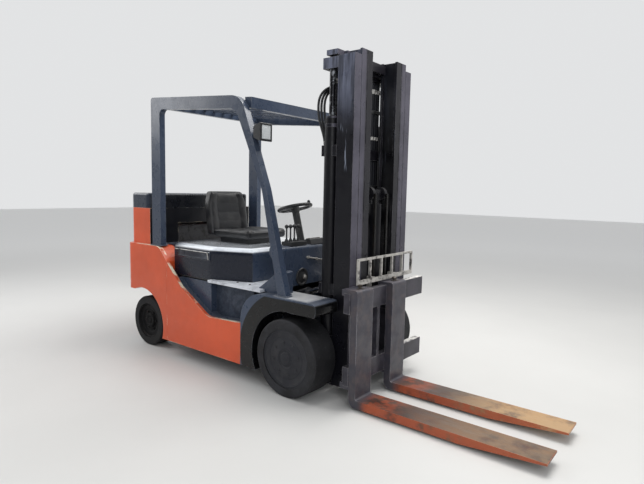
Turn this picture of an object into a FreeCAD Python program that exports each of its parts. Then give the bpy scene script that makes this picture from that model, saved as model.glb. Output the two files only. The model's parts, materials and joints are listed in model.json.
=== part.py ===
import FreeCAD, Part

import math
import os

import Sketcher

os.makedirs("parts", exist_ok=True)

# A counterbalance forklift truck on cushion tyres, with a three-stage mast.
# X points forward, Y to the left and Z up. Every piece is drawn in the truck's
# own frame, with X measured from the drive axle and Z from the ground, and is
# then placed so that the origin lies under the middle of the whole truck.

doc = FreeCAD.newDocument("Forklift")
sheet = doc.addObject("Spreadsheet::Sheet", "Sizes")

# Driving dimensions in mm: name, value, what it measures
SIZES = [
    ("wheelbase", 1775, "drive axle to steer axle"),
    ("body_width", 1280, "across the side panels and counterweight"),
    ("ground_gap", 130, "underside of the body above the ground"),
    # Drive wheels and axle
    ("drive_tyre_diameter", 559, "solid drive tyre"),
    ("drive_tyre_width", 229, "solid drive tyre"),
    ("drive_rim_diameter", 420, "inside of the drive tyre"),
    ("drive_track", 1070, "middle to middle of the drive tyres"),
    ("axle_tube_diameter", 190, "drive axle tube"),
    ("axle_bowl_diameter", 236, "differential housing"),
    ("axle_bowl_width", 290, "differential housing"),
    # Steer wheels and axle
    ("steer_tyre_diameter", 457, "solid steer tyre"),
    ("steer_tyre_width", 178, "solid steer tyre"),
    ("steer_rim_diameter", 320, "inside of the steer tyre"),
    ("steer_track", 990, "middle to middle of the steer tyres"),
    ("kingpin_spacing", 800, "kingpin to kingpin"),
    ("kingpin_diameter", 40, "kingpin"),
    ("steer_beam_depth", 90, "steer axle beam, front to back"),
    ("steer_beam_height", 110, "steer axle beam"),
    ("steer_arch_radius", 317, "wheel arch about the steer wheel"),
    # Counterweight
    ("tail", 2020, "rear of the counterweight behind the drive axle"),
    ("block_front", 1700, "front of the counterweight's upper block"),
    ("block_width", 1200, "upper block"),
    ("block_top", 1270, "top of the upper block"),
    ("cap_top", 1405, "top of the dark cap"),
    ("seam_height", 945, "shoulder beside the overhead guard's rear posts"),
    ("tail_height", 520, "underside behind the steer wheels"),
    ("shoulder_front", 1515, "front end of the flat shoulder"),
    ("panel_seam", 1400, "joint between counterweight and side panels"),
    ("seam_top", 822, "height of the orange side at that joint"),
    ("bay_half", 480, "half width of the engine bay"),
    ("duct_half", 300, "half width of the radiator duct"),
    ("duct_low", 620, "bottom of the radiator duct"),
    ("duct_high", 1130, "top of the radiator duct"),
    ("duct_depth", 170, "wall behind the radiator bay"),
    ("tail_corner", 70, "rounding of the upright rear corners"),
    ("hitch_half", 150, "half width of the casting's middle toe"),
    ("hitch_low", 250, "bottom of the middle toe"),
    ("hitch_depth", 95, "front to back of the middle toe"),
    ("hitch_slot_low", 350, "bottom of the slot for a drawbar"),
    ("hitch_slot_high", 430, "top of the slot for a drawbar"),
    ("tow_pin_diameter", 32, "drawbar pin"),
    # Side panels, step and tanks
    ("panel_thickness", 28, "orange side panel"),
    ("fender_rear", 462, "rear edge of the front fender"),
    ("step_height", 440, "step in the side panel"),
    ("step_rear", 850, "rear end of the flat step"),
    ("sweep_mid", 1204, "point half way up the sweep"),
    ("sweep_mid_height", 633, "height half way up the sweep"),
    ("riser_inset", 140, "depth of the step"),
    ("tank_rear", 1280, "rear end of the tanks behind the side panels"),
    ("cover_rear", 1396, "rear end of the side cover above the tank"),
    ("tank_drop", 14, "tank top below the panel's edge"),
    ("cover_top", 697, "top of the side cover between tank and hood"),
    ("cover_thickness", 60, "side covers below the hood"),
    ("plate", 16, "frame plates"),
    ("frame_front", 250, "front plate of the frame"),
    ("firewall_top", 530, "top of the frame's front plate"),
    ("tongue_half", 150, "half width of the frame's rear tongue"),
    ("tongue_low", 400, "underside of the tongue"),
    ("tongue_thickness", 60, "tongue over the steer axle"),
    ("pivot_diameter", 60, "pin on which the steer axle rocks"),
    ("pivot_gap", 12, "steer beam to its brackets"),
    ("bracket_thickness", 34, "steer axle bracket"),
    ("bracket_half", 110, "half width of a steer axle bracket"),
    # Fenders, floor and cowl
    ("fender_inner", 400, "inner face of the fender"),
    ("fender_outer", 645, "outer face of the fender"),
    ("fender_top", 705, "flat top of the fender"),
    ("fender_nose", 265, "front end of the fender"),
    ("fender_radius", 335, "arch over the drive wheel"),
    ("floor_top", 722, "top of the floor plate"),
    ("floor_thickness", 20, "floor plate"),
    ("floor_half", 600, "half width of the floor plate"),
    ("floor_front", 300, "front of the floor plate"),
    ("cowl_back", 290, "rear face of the cowl"),
    ("cowl_front", 225, "front face of the cowl"),
    ("cowl_half", 455, "half width of the cowl"),
    ("cowl_top", 1030, "top of the cowl"),
    ("cowl_slope", 130, "height of the slope at the cowl's top"),
    ("wing_top", 868, "top of the wings beside the cowl"),
    ("wing_reach", 60, "wings behind the front of the floor"),
    # Hood and seat
    ("hood_front", 560, "front of the hood"),
    ("hood_rear", 1395, "rear of the hood"),
    ("hood_bend", 900, "where the hood reaches its full width"),
    ("hood_front_half", 425, "half width at the front"),
    ("hood_rear_half", 560, "half width at the rear"),
    ("hood_low", 705, "bottom edge of the hood"),
    ("hood_top", 985, "top of the hood"),
    ("hood_skin", 18, "thickness of the hood"),
    ("hood_shoulder", 55, "rounding of the hood's upper edges"),
    ("hinge_height", 830, "hood hinge"),
    ("hinge_gap", 11, "hood hinge's axis behind the hood"),
    ("hinge_radius", 9, "hood hinge"),
    ("hinge_half", 245, "hood hinges from the middle"),
    ("deck_gap", 80, "hood to the cover behind it"),
    ("seat_front", 800, "front of the seat cushion"),
    ("seat_rear", 1290, "rear of the seat cushion"),
    ("seat_half", 245, "half width of the seat"),
    ("seat_base_height", 42, "seat slide and base"),
    ("cushion_height", 85, "seat cushion"),
    ("backrest_height", 400, "seat back"),
    ("backrest_thickness", 95, "seat back"),
    # Engine and radiator
    ("engine_front", 690, "front of the engine"),
    ("engine_length", 600, "engine"),
    ("engine_half", 220, "half width of the engine"),
    ("engine_high", 880, "top of the engine"),
    ("radiator_thickness", 90, "radiator core and tanks"),
    ("radiator_gap", 30, "radiator to the counterweight's wall"),
    # Overhead guard
    ("guard_top", 2230, "top of the overhead guard at its rear corners"),
    ("guard_fall", 86, "fall of the roof from its rear to its front corners"),
    ("guard_half", 610, "outer faces of the rear posts"),
    ("guard_rail", 55, "width of the guard's side frames"),
    ("guard_depth", 98, "depth of the roof's side rails"),
    ("guard_rear", 1650, "rear face of the rear posts"),
    ("guard_post", 125, "rear posts, front to back"),
    ("guard_front", 505, "front of the roof"),
    ("guard_bars", 9, "number of roof bars"),
    ("guard_bar_width", 24, "roof bar"),
    ("guard_bar_height", 34, "roof bar"),
    ("guard_bar_drop", 14, "roof bars below the top"),
    ("header_depth", 70, "front to back of the roof headers"),
    ("header_inset", 40, "rear header in front of the guard's rear"),
    ("visor_inset", 12, "front header behind the guard's front corner"),
    ("pillar_foot_front", 33, "front of the front pillar's foot"),
    ("pillar_foot_depth", 78, "front pillar at its foot"),
    ("pillar_knee_front", 235, "front of the front pillar half way up"),
    ("pillar_knee_depth", 44, "front pillar half way up"),
    ("pillar_knee_height", 1455, "height half way up"),
    ("lamp_height", 1870, "middle of the work lamps on the front pillars"),
    ("lamp_back", 372, "rear of the work lamps behind the drive axle"),
    ("lamp_width", 120, "work lamp"),
    ("lamp_tall", 135, "work lamp"),
    ("lamp_depth", 72, "work lamp, front to back"),
    ("lamp_plate", 8, "plate that holds a work lamp"),
    # Steering
    ("wheel_centre_back", 500, "steering wheel behind the drive axle"),
    ("wheel_centre_height", 1310, "steering wheel"),
    ("wheel_diameter", 300, "steering wheel"),
    ("wheel_grip", 28, "steering wheel's rim"),
    ("column_foot_back", 345, "steering column at its foot"),
    ("column_foot_height", 742, "steering column at its foot"),
    ("column_diameter", 60, "steering column"),
    ("panel_half", 95, "half width of the instrument panel"),
    ("pedal_rise", 95, "pedal plates above the floor"),
    ("pedal_thickness", 20, "pedal plates"),
    # Mast
    ("mast_width", 750, "outside of the outer rails"),
    ("mast_back", 205, "rear face of the rails"),
    ("rail_depth", 140, "front to back of each rail"),
    ("rail_flange", 18, "flange thickness"),
    ("rail_web", 16, "web thickness"),
    ("outer_rail_width", 75, "outer stage"),
    ("middle_rail_width", 62, "middle stage"),
    ("inner_rail_width", 62, "inner stage"),
    ("rail_gap", 6, "between neighbouring stages"),
    ("mast_low", 68, "bottom of the outer stage"),
    ("stage_low", 83, "bottom of the middle and inner stages"),
    ("outer_top", 2375, "top of the outer stage"),
    ("stage_top", 2420, "top of the middle and inner stages"),
    ("crossbar_depth", 31, "front to back of a crossbar"),
    ("crossbar_height", 75, "crossbar"),
    ("middle_bar_low", 1200, "crossbar half way up the middle stage"),
    ("inner_bar_low", 1250, "crossbar half way up the inner stage"),
    ("inner_bar_drop", 85, "upper crossbar of the inner stage below its top"),
    ("stage_bar_height", 60, "crossbars of the middle and inner stages"),
    ("roller_slack", 0.4, "roller to flange"),
    ("roller_width", 36, "mast roller"),
    ("saddle_wall", 38, "saddle round the axle tube"),
    ("saddle_slack", 0.5, "saddle to axle tube"),
    ("saddle_top", 425, "seat of the lift cylinders"),
    # Lift cylinders
    ("lift_barrel", 100, "lift cylinder"),
    ("lift_rod", 45, "lift cylinder's rod"),
    ("lift_offset", 72, "lift cylinder's centre behind the rails"),
    ("lift_top", 1960, "top of the lift cylinder"),
    ("rod_slack", 0.5, "rod to gland"),
    ("clamp_wall", 9, "clamp round a lift cylinder"),
    ("clamp_height", 1700, "underside of the upper clamps"),
    ("pipe_diameter", 26, "hydraulic pipe behind the crossbars"),
    ("pipe_pitch", 34, "pipe to pipe"),
    ("pipe_inner", 200, "innermost pipe from the middle of the mast"),
    ("pipe_block", 40, "block at an end of the pipes"),
    ("free_barrel", 100, "free-lift cylinder"),
    ("free_rod", 56, "free-lift cylinder's rod"),
    ("free_centre", 290, "free-lift cylinder ahead of the drive axle"),
    ("free_top", 1370, "top of the free-lift cylinder"),
    ("sheave_diameter", 110, "chain sheave over the leaf's pitch line"),
    ("sheave_height", 1445, "axis of the chain sheaves"),
    ("sheave_half", 78, "chains from the middle of the mast"),
    ("chain_width", 22, "leaf chain"),
    ("chain_thickness", 14, "leaf chain"),
    # Carriage and forks
    ("carriage_back", 394.6, "rear face of the fork bars"),
    ("bar_thickness", 50, "fork bars"),
    ("carriage_width", 1010, "fork bars"),
    ("lower_bar_low", 150, "bottom of the lower fork bar"),
    ("lower_bar_height", 130, "lower fork bar"),
    ("upper_bar_top", 785, "top of the upper fork bar"),
    ("upper_bar_height", 140, "upper fork bar"),
    ("bracket_plate", 30, "carriage side plates"),
    ("bracket_top", 700, "top of the carriage side plates"),
    ("carriage_gap", 5, "carriage side plates to the inner rails"),
    ("fork_length", 1220, "fork blade"),
    ("fork_width", 190, "fork"),
    ("fork_thickness", 55, "fork"),
    ("fork_low", 14, "underside of the blades"),
    ("fork_tip", 12, "thickness at the tip"),
    ("right_fork", -405, "middle of the right fork"),
    ("left_fork", 45, "middle of the left fork"),
    ("hook_depth", 22, "fork hook over a bar"),
    ("hook_drop", 20, "fork hook behind a bar"),
    ("fork_slack", 0.4, "fork to bar"),
    ("backrest_top", 1000, "top of the load backrest"),
    ("backrest_half", 375, "half width of the load backrest"),
    ("backrest_bars", 6, "upright bars in the load backrest"),
    ("backrest_bar", 16, "load backrest bar"),
    # Tilt cylinders
    ("tilt_half", 255, "tilt cylinders from the middle"),
    ("tilt_frame_back", 420, "frame pin behind the drive axle"),
    ("tilt_frame_height", 560, "frame pin"),
    ("tilt_mast_front", 95, "mast pin ahead of the drive axle"),
    ("tilt_mast_height", 765, "mast pin"),
    ("tilt_barrel", 84, "tilt cylinder"),
    ("tilt_rod", 42, "tilt cylinder's rod"),
    ("tilt_eye", 62, "eyes at both ends"),
    ("tilt_pin", 32, "pins at both ends"),
    ("tilt_barrel_length", 330, "pin to gland"),
    ("pin_slack", 0.5, "pin to eye"),
    ("drift_slack", 2.5, "mast pin to the rod's eye"),
    ("rest_gap", 0.3, "between pieces that rest on each other"),
    ("lug_thickness", 22, "lugs beside an eye"),
    ("eye_width", 40, "eye"),
]

for row, (alias, value, note) in enumerate(SIZES, start=1):
    sheet.set("A%d" % row, alias)
    sheet.set("B%d" % row, str(value))
    sheet.set("C%d" % row, note)
    sheet.setAlias("B%d" % row, alias)
doc.recompute()


class Size:
    """A length that knows its value and the formula that gives it."""

    def __init__(self, value, formula):
        self.value = float(value)
        self.formula = formula

    def __add__(self, other):
        other = size(other)
        return Size(self.value + other.value, "(%s + %s)" % (self.formula, other.formula))

    def __sub__(self, other):
        other = size(other)
        return Size(self.value - other.value, "(%s - %s)" % (self.formula, other.formula))

    def __mul__(self, other):
        other = size(other)
        return Size(self.value * other.value, "(%s * %s)" % (self.formula, other.formula))

    def __truediv__(self, other):
        other = size(other)
        return Size(self.value / other.value, "(%s / %s)" % (self.formula, other.formula))

    def __neg__(self):
        return Size(-self.value, "(-1 * %s)" % self.formula)

    __radd__ = __add__
    __rmul__ = __mul__

    def __rsub__(self, other):
        return size(other) - self


def size(number):
    """The number as a Size."""
    if isinstance(number, Size):
        return number
    return Size(number, "(%r)" % float(number))


def reach(along, across):
    """The straight distance that two sides of a right angle span."""
    value = math.hypot(along.value, across.value)
    return Size(value, "sqrt(%s ^ 2 + %s ^ 2)" % (along.formula, across.formula))


def slope(along, rise):
    """The angle in degrees of a line that rises over a run."""
    value = math.degrees(math.atan2(rise.value, along.value))
    return Size(value, "atan2(%s; %s)" % (rise.formula, along.formula))


class Lengths:
    """Every driving dimension under its own name."""


d = Lengths()
for alias, value, note in SIZES:
    setattr(d, alias, Size(value, "Sizes.%s" % alias))

zero = size(0)


def bind(thing, prop, length):
    """Ties one property of a document object to a Size."""
    thing.setExpression(prop, size(length).formula)


def place(thing, x=0, y=0, z=0, axis=None, angle=0):
    """Places an object at a point, turned about an axis."""
    turn = FreeCAD.Rotation()
    if axis:
        turn = FreeCAD.Rotation(FreeCAD.Vector(*axis), size(angle).value)
    base = FreeCAD.Vector(size(x).value, size(y).value, size(z).value)
    thing.Placement = FreeCAD.Placement(base, turn)
    bind(thing, "Placement.Base.x", x)
    bind(thing, "Placement.Base.y", y)
    bind(thing, "Placement.Base.z", z)
    if axis and isinstance(angle, Size):
        bind(thing, "Placement.Rotation.Angle", angle)


def box(x, y, z):
    """A block between two values on each axis."""
    block = doc.addObject("Part::Box", "Block")
    for prop, (low, high) in (("Length", x), ("Width", y), ("Height", z)):
        bind(block, prop, size(high) - low)
    place(block, x[0], y[0], z[0])
    return block


TURNS = {"x": ((0, 1, 0), 90), "y": ((1, 0, 0), -90), "z": (None, 0)}


def rod(axis, x, y, z, radius, length):
    """A round bar that starts at a point and runs along an axis."""
    bar = doc.addObject("Part::Cylinder", "Bar")
    bind(bar, "Radius", radius)
    bind(bar, "Height", length)
    turn, angle = TURNS[axis]
    place(bar, x, y, z, turn, angle)
    return bar


def fuse(*pieces):
    """One solid from several that touch."""
    whole = doc.addObject("Part::MultiFuse", "Joined")
    whole.Shapes = list(pieces)
    whole.Refine = True
    return whole


def cut(base, *tools):
    """A solid with others taken out of it."""
    for tool in tools:
        less = doc.addObject("Part::Cut", "Cut")
        less.Base = base
        less.Tool = tool
        less.Refine = True
        base = less
    return base


def together(*pieces):
    """Separate solids of one piece."""
    group = doc.addObject("Part::Compound", "Group")
    group.Links = list(pieces)
    return group


def new_body():
    return doc.addObject("PartDesign::Body", "Body")


def new_sketch(body, plane, offset):
    """A sketch on one of the body's own planes, moved along its normal."""
    base = [f for f in body.Origin.OriginFeatures if f.Role == plane][0]
    sketch = body.newObject("Sketcher::SketchObject", "Sketch")
    sketch.AttachmentSupport = [(base, "")]
    sketch.MapMode = "FlatFace"
    offset = size(offset)
    sketch.AttachmentOffset = FreeCAD.Placement(FreeCAD.Vector(0, 0, offset.value), FreeCAD.Rotation())
    bind(sketch, "AttachmentOffset.Base.z", offset)
    return sketch


def fix_point(sketch, thing, end, u, v):
    """Holds a point of the sketch at its two coordinates."""
    for kind, length in (("DistanceX", u), ("DistanceY", v)):
        length = size(length)
        row = sketch.addConstraint(Sketcher.Constraint(kind, -1, 1, thing, end, length.value))
        sketch.setExpression("Constraints[%d]" % row, length.formula)


def draw_circle(sketch, u, v, radius):
    centre = FreeCAD.Vector(size(u).value, size(v).value, 0)
    ring = sketch.addGeometry(Part.Circle(centre, FreeCAD.Vector(0, 0, 1), size(radius).value), False)
    fix_point(sketch, ring, 3, u, v)
    row = sketch.addConstraint(Sketcher.Constraint("Radius", ring, size(radius).value))
    sketch.setExpression("Constraints[%d]" % row, size(radius).formula)


def draw_outline(sketch, points):
    """A closed outline of straight runs. A corner is (u, v) or (u, v, radius)."""
    count = len(points)
    corners = [FreeCAD.Vector(size(p[0]).value, size(p[1]).value, 0) for p in points]
    starts = list(corners)
    ends = list(corners)
    arcs = {}
    for i, point in enumerate(points):
        if len(point) < 3:
            continue
        radius = size(point[2]).value
        back = (corners[i - 1] - corners[i]).normalize()
        ahead = (corners[(i + 1) % count] - corners[i]).normalize()
        half = back.getAngle(ahead) / 2
        ends[i] = corners[i] + back * (radius / math.tan(half))
        starts[i] = corners[i] + ahead * (radius / math.tan(half))
        centre = corners[i] + (back + ahead).normalize() * (radius / math.sin(half))
        left = back.cross(ahead).z < 0
        first, last = (ends[i], starts[i]) if left else (starts[i], ends[i])
        angles = [math.atan2(p.y - centre.y, p.x - centre.x) for p in (first, last)]
        circle = Part.Circle(centre, FreeCAD.Vector(0, 0, 1), radius)
        arcs[i] = (Part.ArcOfCircle(circle, angles[0], angles[1]), 1 if left else 2)
    lines = []
    for i in range(count):
        run = Part.LineSegment(starts[i], ends[(i + 1) % count])
        lines.append(sketch.addGeometry(run, False))
    for i, point in enumerate(points):
        before = lines[i - 1]
        after = lines[i]
        if i not in arcs:
            sketch.addConstraint(Sketcher.Constraint("Coincident", before, 2, after, 1))
            fix_point(sketch, after, 1, point[0], point[1])
            continue
        arc, entry = arcs[i]
        bend = sketch.addGeometry(arc, False)
        apex = sketch.addGeometry(Part.Point(corners[i]), True)
        sketch.addConstraint(Sketcher.Constraint("Tangent", before, 2, bend, entry))
        sketch.addConstraint(Sketcher.Constraint("Tangent", after, 1, bend, 3 - entry))
        sketch.addConstraint(Sketcher.Constraint("PointOnObject", apex, 1, before))
        sketch.addConstraint(Sketcher.Constraint("PointOnObject", apex, 1, after))
        fix_point(sketch, apex, 1, point[0], point[1])
        row = sketch.addConstraint(Sketcher.Constraint("Radius", bend, size(point[2]).value))
        sketch.setExpression("Constraints[%d]" % row, size(point[2]).formula)


# The plane of each view, and whether its normal points back along its axis
VIEWS = {"side": ("XZ_Plane", True), "plan": ("XY_Plane", False), "front": ("YZ_Plane", False)}


def pad(body, view, low, high, *outlines):
    """Thickens outlines drawn in one view between two values on its axis."""
    plane, reverse = VIEWS[view]
    sketch = new_sketch(body, plane, -size(high) if reverse else low)
    for outline in outlines:
        if isinstance(outline, dict):
            draw_circle(sketch, **outline)
        else:
            draw_outline(sketch, outline)
    feature = body.newObject("PartDesign::Pad", "Pad")
    feature.Profile = sketch
    bind(feature, "Length", size(high) - low)
    return feature


def pocket(body, view, low, high, *outlines):
    """Takes outlines drawn in one view out of a body between two values."""
    plane, reverse = VIEWS[view]
    sketch = new_sketch(body, plane, -size(low) if reverse else high)
    for outline in outlines:
        if isinstance(outline, dict):
            draw_circle(sketch, **outline)
        else:
            draw_outline(sketch, outline)
    feature = body.newObject("PartDesign::Pocket", "Pocket")
    feature.Profile = sketch
    bind(feature, "Length", size(high) - low)
    return feature


def turned(body, outline):
    """A ring or disc about the Y axis. The outline is drawn as (y, radius)."""
    sketch = new_sketch(body, "YZ_Plane", 0)
    draw_outline(sketch, outline)
    feature = body.newObject("PartDesign::Revolution", "Revolution")
    feature.Profile = sketch
    feature.ReferenceAxis = (sketch, ["H_Axis"])
    feature.Angle = 360
    return feature


def solid(view, low, high, *outlines):
    """A body of one thickened outline."""
    body = new_body()
    pad(body, view, low, high, *outlines)
    return body


def rounded(body, radius, chosen):
    """Rounds the edges of a body that a test picks by their middle and direction."""
    doc.recompute()
    names = []
    for number, edge in enumerate(body.Shape.Edges, start=1):
        ends = [v.Point for v in edge.Vertexes]
        if len(ends) == 2 and chosen((ends[0] + ends[1]) * 0.5, (ends[1] - ends[0])):
            names.append("Edge%d" % number)
    before = body.Tip
    feature = body.newObject("PartDesign::Fillet", "Fillet")
    feature.Base = (before, names)
    bind(feature, "Radius", radius)
    return feature


def near(one, other):
    return abs(one - size(other).value) < 0.5


def side_span(side, inner, outer):
    """The low and high Y of a piece that lies on one side of the truck."""
    if side > 0:
        return inner, outer
    return -size(outer), -size(inner)


def rectangle(u, v, radius=None):
    """A four-sided outline between two values on each axis."""
    corners = [(u[0], v[0]), (u[1], v[0]), (u[1], v[1]), (u[0], v[1])]
    if radius is None:
        return corners
    return [corner + (radius,) for corner in corners]


nodes = []
SIDES = (("left", 1), ("right", -1))

# The whole truck reaches from the counterweight's rear to the fork tips, and
# its middle is the origin
fork_face = d.carriage_back + d.bar_thickness + d.fork_slack + d.fork_thickness
truck_front = fork_face + d.fork_length
axle_x = (d.tail - truck_front) / 2
body_half = d.body_width / 2
axle_height = d.drive_tyre_diameter / 2
steer_x = -d.wheelbase
steer_height = d.steer_tyre_diameter / 2


def node(piece, label, x=0, y=0, z=0, axis=None, angle=0):
    """Names a finished piece and puts it in its place on the truck."""
    piece.Label = label
    place(piece, axle_x + x, y, z, axis, angle)
    nodes.append(piece)


# Wheels

def wheel(label, diameter, width, rim, side, x, y, dish):
    """A solid tyre pressed on a dished steel wheel."""
    radius = diameter / 2
    bore = rim / 2
    half = width / 2
    tyre = new_body()
    turned(tyre, [(-half, bore), (half, bore), (half, radius, 14), (-half, radius, 14)])
    node(tyre, label + "_tyre", x, y * side, radius)
    # Section of the wheel: a rim band with a web set in from the outer face
    band = bore - 14
    seat = bore - 0.3
    outer_web = half - dish
    inner_web = half - dish - 24
    hub = new_body()
    sections = [
        (-half + 6, band), (inner_web, band), (inner_web, 0), (outer_web + 30, 0),
        (outer_web + 30, 48), (outer_web, 60), (outer_web, band), (half - 6, band),
        (half - 6, seat), (-half + 6, seat),
    ]
    if side < 0:
        sections = [(-u, v) for u, v in reversed([(size(u), v) for u, v in sections])]
    turned(hub, sections)
    return hub


for name, side in SIDES:
    hub = wheel("drive_" + name, d.drive_tyre_diameter, d.drive_tyre_width, d.drive_rim_diameter,
                side, zero, d.drive_track / 2, 42)
    node(hub, "drive_%s_wheel" % name, 0, d.drive_track / 2 * side, axle_height)
for name, side in SIDES:
    hub = wheel("steer_" + name, d.steer_tyre_diameter, d.steer_tyre_width, d.steer_rim_diameter,
                side, steer_x, d.steer_track / 2, 38)
    node(hub, "steer_%s_wheel" % name, steer_x, d.steer_track / 2 * side, steer_height)

# Drive axle: a tube with a differential housing and a spindle in each wheel

tube = d.axle_tube_diameter / 2
bowl = d.axle_bowl_diameter / 2
spindle_end = d.drive_track / 2 + d.drive_tyre_width / 2 - 42 - 24 - d.rest_gap
tube_end = d.drive_track / 2 - d.drive_tyre_width / 2 - 12
axle = new_body()
bowl_half = d.axle_bowl_width / 2
turned(axle, [
    (-spindle_end, 0), (spindle_end, 0), (spindle_end, 45), (tube_end, 60), (tube_end, tube),
    (bowl_half + 30, tube), (bowl_half, bowl), (-bowl_half, bowl), (-bowl_half - 30, tube),
    (-tube_end, tube), (-tube_end, 60), (-spindle_end, 45),
])
node(axle, "drive_axle", 0, 0, axle_height)

# Steer axle: a beam that rocks on a pin, with a fork at each end for the kingpin

kingpin_y = d.kingpin_spacing / 2
beam_x = (steer_x - d.steer_beam_depth / 2, steer_x + d.steer_beam_depth / 2)
beam_low = steer_height - d.steer_beam_height / 2
beam_high = steer_height + d.steer_beam_height / 2
knuckle_radius = d.kingpin_diameter / 2 + 16
knuckle_half = 42
bracket_front = d.steer_beam_depth / 2 + d.pivot_gap
pivot_half = bracket_front + d.bracket_thickness
beam = box(beam_x, (-(kingpin_y - 46), kingpin_y - 46), (beam_low, beam_high))
yokes = []
for name, side in SIDES:
    for low, high in ((beam_low - 12, steer_height - knuckle_half - 3),
                      (steer_height + knuckle_half + 3, beam_high + 12)):
        yokes.append(rod("z", steer_x, kingpin_y * side, low, knuckle_radius, size(high) - low))
        yokes.append(box((steer_x - knuckle_radius, steer_x + knuckle_radius),
                         side_span(side, kingpin_y - 80, kingpin_y), (low, high)))
    yokes.append(rod("z", steer_x, kingpin_y * side, beam_low - 12, d.kingpin_diameter / 2,
                     beam_high - beam_low + 24))
pivot = rod("x", steer_x - pivot_half, 0, steer_height, d.pivot_diameter / 2, pivot_half * 2)
node(fuse(beam, pivot, *yokes), "steer_axle")

for name, side in SIDES:
    block = rod("z", steer_x, kingpin_y * side, steer_height - knuckle_half, knuckle_radius,
                knuckle_half * 2)
    stub_start = kingpin_y + 10
    stub_end = d.steer_track / 2 + d.steer_tyre_width / 2 - 38 - 24 - d.rest_gap
    low, high = side_span(side, stub_start, stub_end)
    stub = rod("y", steer_x, low, steer_height, 28, high - low)
    bore = rod("z", steer_x, kingpin_y * side, steer_height - knuckle_half - 1,
               d.kingpin_diameter / 2 + d.pin_slack, knuckle_half * 2 + 2)
    node(cut(fuse(block, stub), bore), "knuckle_" + name)

# Counterweight: a casting with the wheel arches, the radiator duct and a middle
# toe that carries the drawbar pin

side_profile = [
    (-d.tail, d.tail_height), (-d.panel_seam, d.tail_height), (-d.panel_seam, d.seam_top),
    (-d.shoulder_front, d.seam_height, 120), (-d.tail, d.seam_height),
]
leg = [
    (-d.panel_seam, d.ground_gap), (-d.panel_seam, d.tail_height + 40),
    (steer_x, d.tail_height + 40), (steer_x, d.ground_gap),
]
weight = new_body()
pad(weight, "side", -body_half, body_half, side_profile)
pad(weight, "side", -body_half, body_half, leg)
rounded(weight, d.tail_corner, lambda m, e: near(m.x, -d.tail) and abs(e.z) > 100)
block_half = d.block_width / 2
pad(weight, "plan", d.seam_height - 10, d.block_top, [
    (-d.tail, -block_half, d.tail_corner), (-d.block_front, -block_half),
    (-d.block_front, block_half), (-d.tail, block_half, d.tail_corner)])
pad(weight, "side", -d.hitch_half, d.hitch_half,
    rectangle((-d.tail, -d.tail + d.hitch_depth), (d.hitch_low, d.tail_height + 20)))
pocket(weight, "side", -body_half, body_half,
       {"u": steer_x, "v": steer_height, "radius": d.steer_arch_radius})
bay_rear = d.tail - d.duct_depth
pocket(weight, "front", -bay_rear, -d.panel_seam,
       rectangle((-d.duct_half, d.duct_half), (0, d.duct_high)))
pocket(weight, "front", -d.block_front, -d.panel_seam,
       rectangle((-d.bay_half, d.bay_half), (0, d.block_top)))
pocket(weight, "front", -d.tail, -bay_rear,
       rectangle((-d.duct_half + 20, d.duct_half - 20), (d.duct_low, d.duct_high - 20)))
pocket(weight, "front", -d.tail, -d.tail + d.hitch_depth * 0.7,
       rectangle((-d.hitch_half / 2, d.hitch_half / 2), (d.hitch_slot_low, d.hitch_slot_high)))
pin_x = -d.tail + d.hitch_depth * 0.35
pocket(weight, "plan", d.hitch_low + 40, d.tail_height - 20,
       {"u": pin_x, "v": zero, "radius": d.tow_pin_diameter / 2 + d.pin_slack})
node(weight, "counterweight")

cap = new_body()
pad(cap, "plan", d.block_top, d.cap_top,
    rectangle((-d.tail, -d.block_front + 5), (-block_half, block_half), d.tail_corner))
rounded(cap, 22, lambda m, e: near(m.z, d.cap_top))
node(cap, "counterweight_cap")

pin_low = d.hitch_low + 40
node(solid("plan", pin_low, d.tail_height - 22,
           {"u": pin_x, "v": zero, "radius": d.tow_pin_diameter / 2}), "tow_pin")

# Rear grille: a frame with louvres across the radiator duct

grille_half = d.duct_half - 20 - d.rest_gap
grille_low = d.duct_low + d.rest_gap
grille_high = d.duct_high - 20 - d.rest_gap
grille_x = (-d.tail + 12, -d.tail + 34)
rim = 24
grille = cut(box(grille_x, (-grille_half, grille_half), (grille_low, grille_high)),
             box((grille_x[0] - 5, grille_x[1] + 5), (-grille_half + rim, grille_half - rim),
                 (grille_low + rim, grille_high - rim)))
louvres = 9
pitch = (grille_high - grille_low - rim * 2) / louvres
slats = [box((grille_x[0] + 2, grille_x[1] - 2), (-grille_half + rim - 2, grille_half - rim + 2),
             (grille_low + rim + pitch * (i + 0.35), grille_low + rim + pitch * (i + 0.65)))
         for i in range(louvres)]
node(fuse(grille, *slats), "rear_grille")

radiator_x = (-bay_rear + d.radiator_gap, -bay_rear + d.radiator_gap + d.radiator_thickness)
tongue_top = d.tongue_low + d.tongue_thickness
node(solid("plan", tongue_top, d.duct_high - 30,
           rectangle(radiator_x, (-d.duct_half + 15, d.duct_half - 15))), "radiator")

# Frame: side plates, belly, cross plates and the tongue that holds the steer axle

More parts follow.
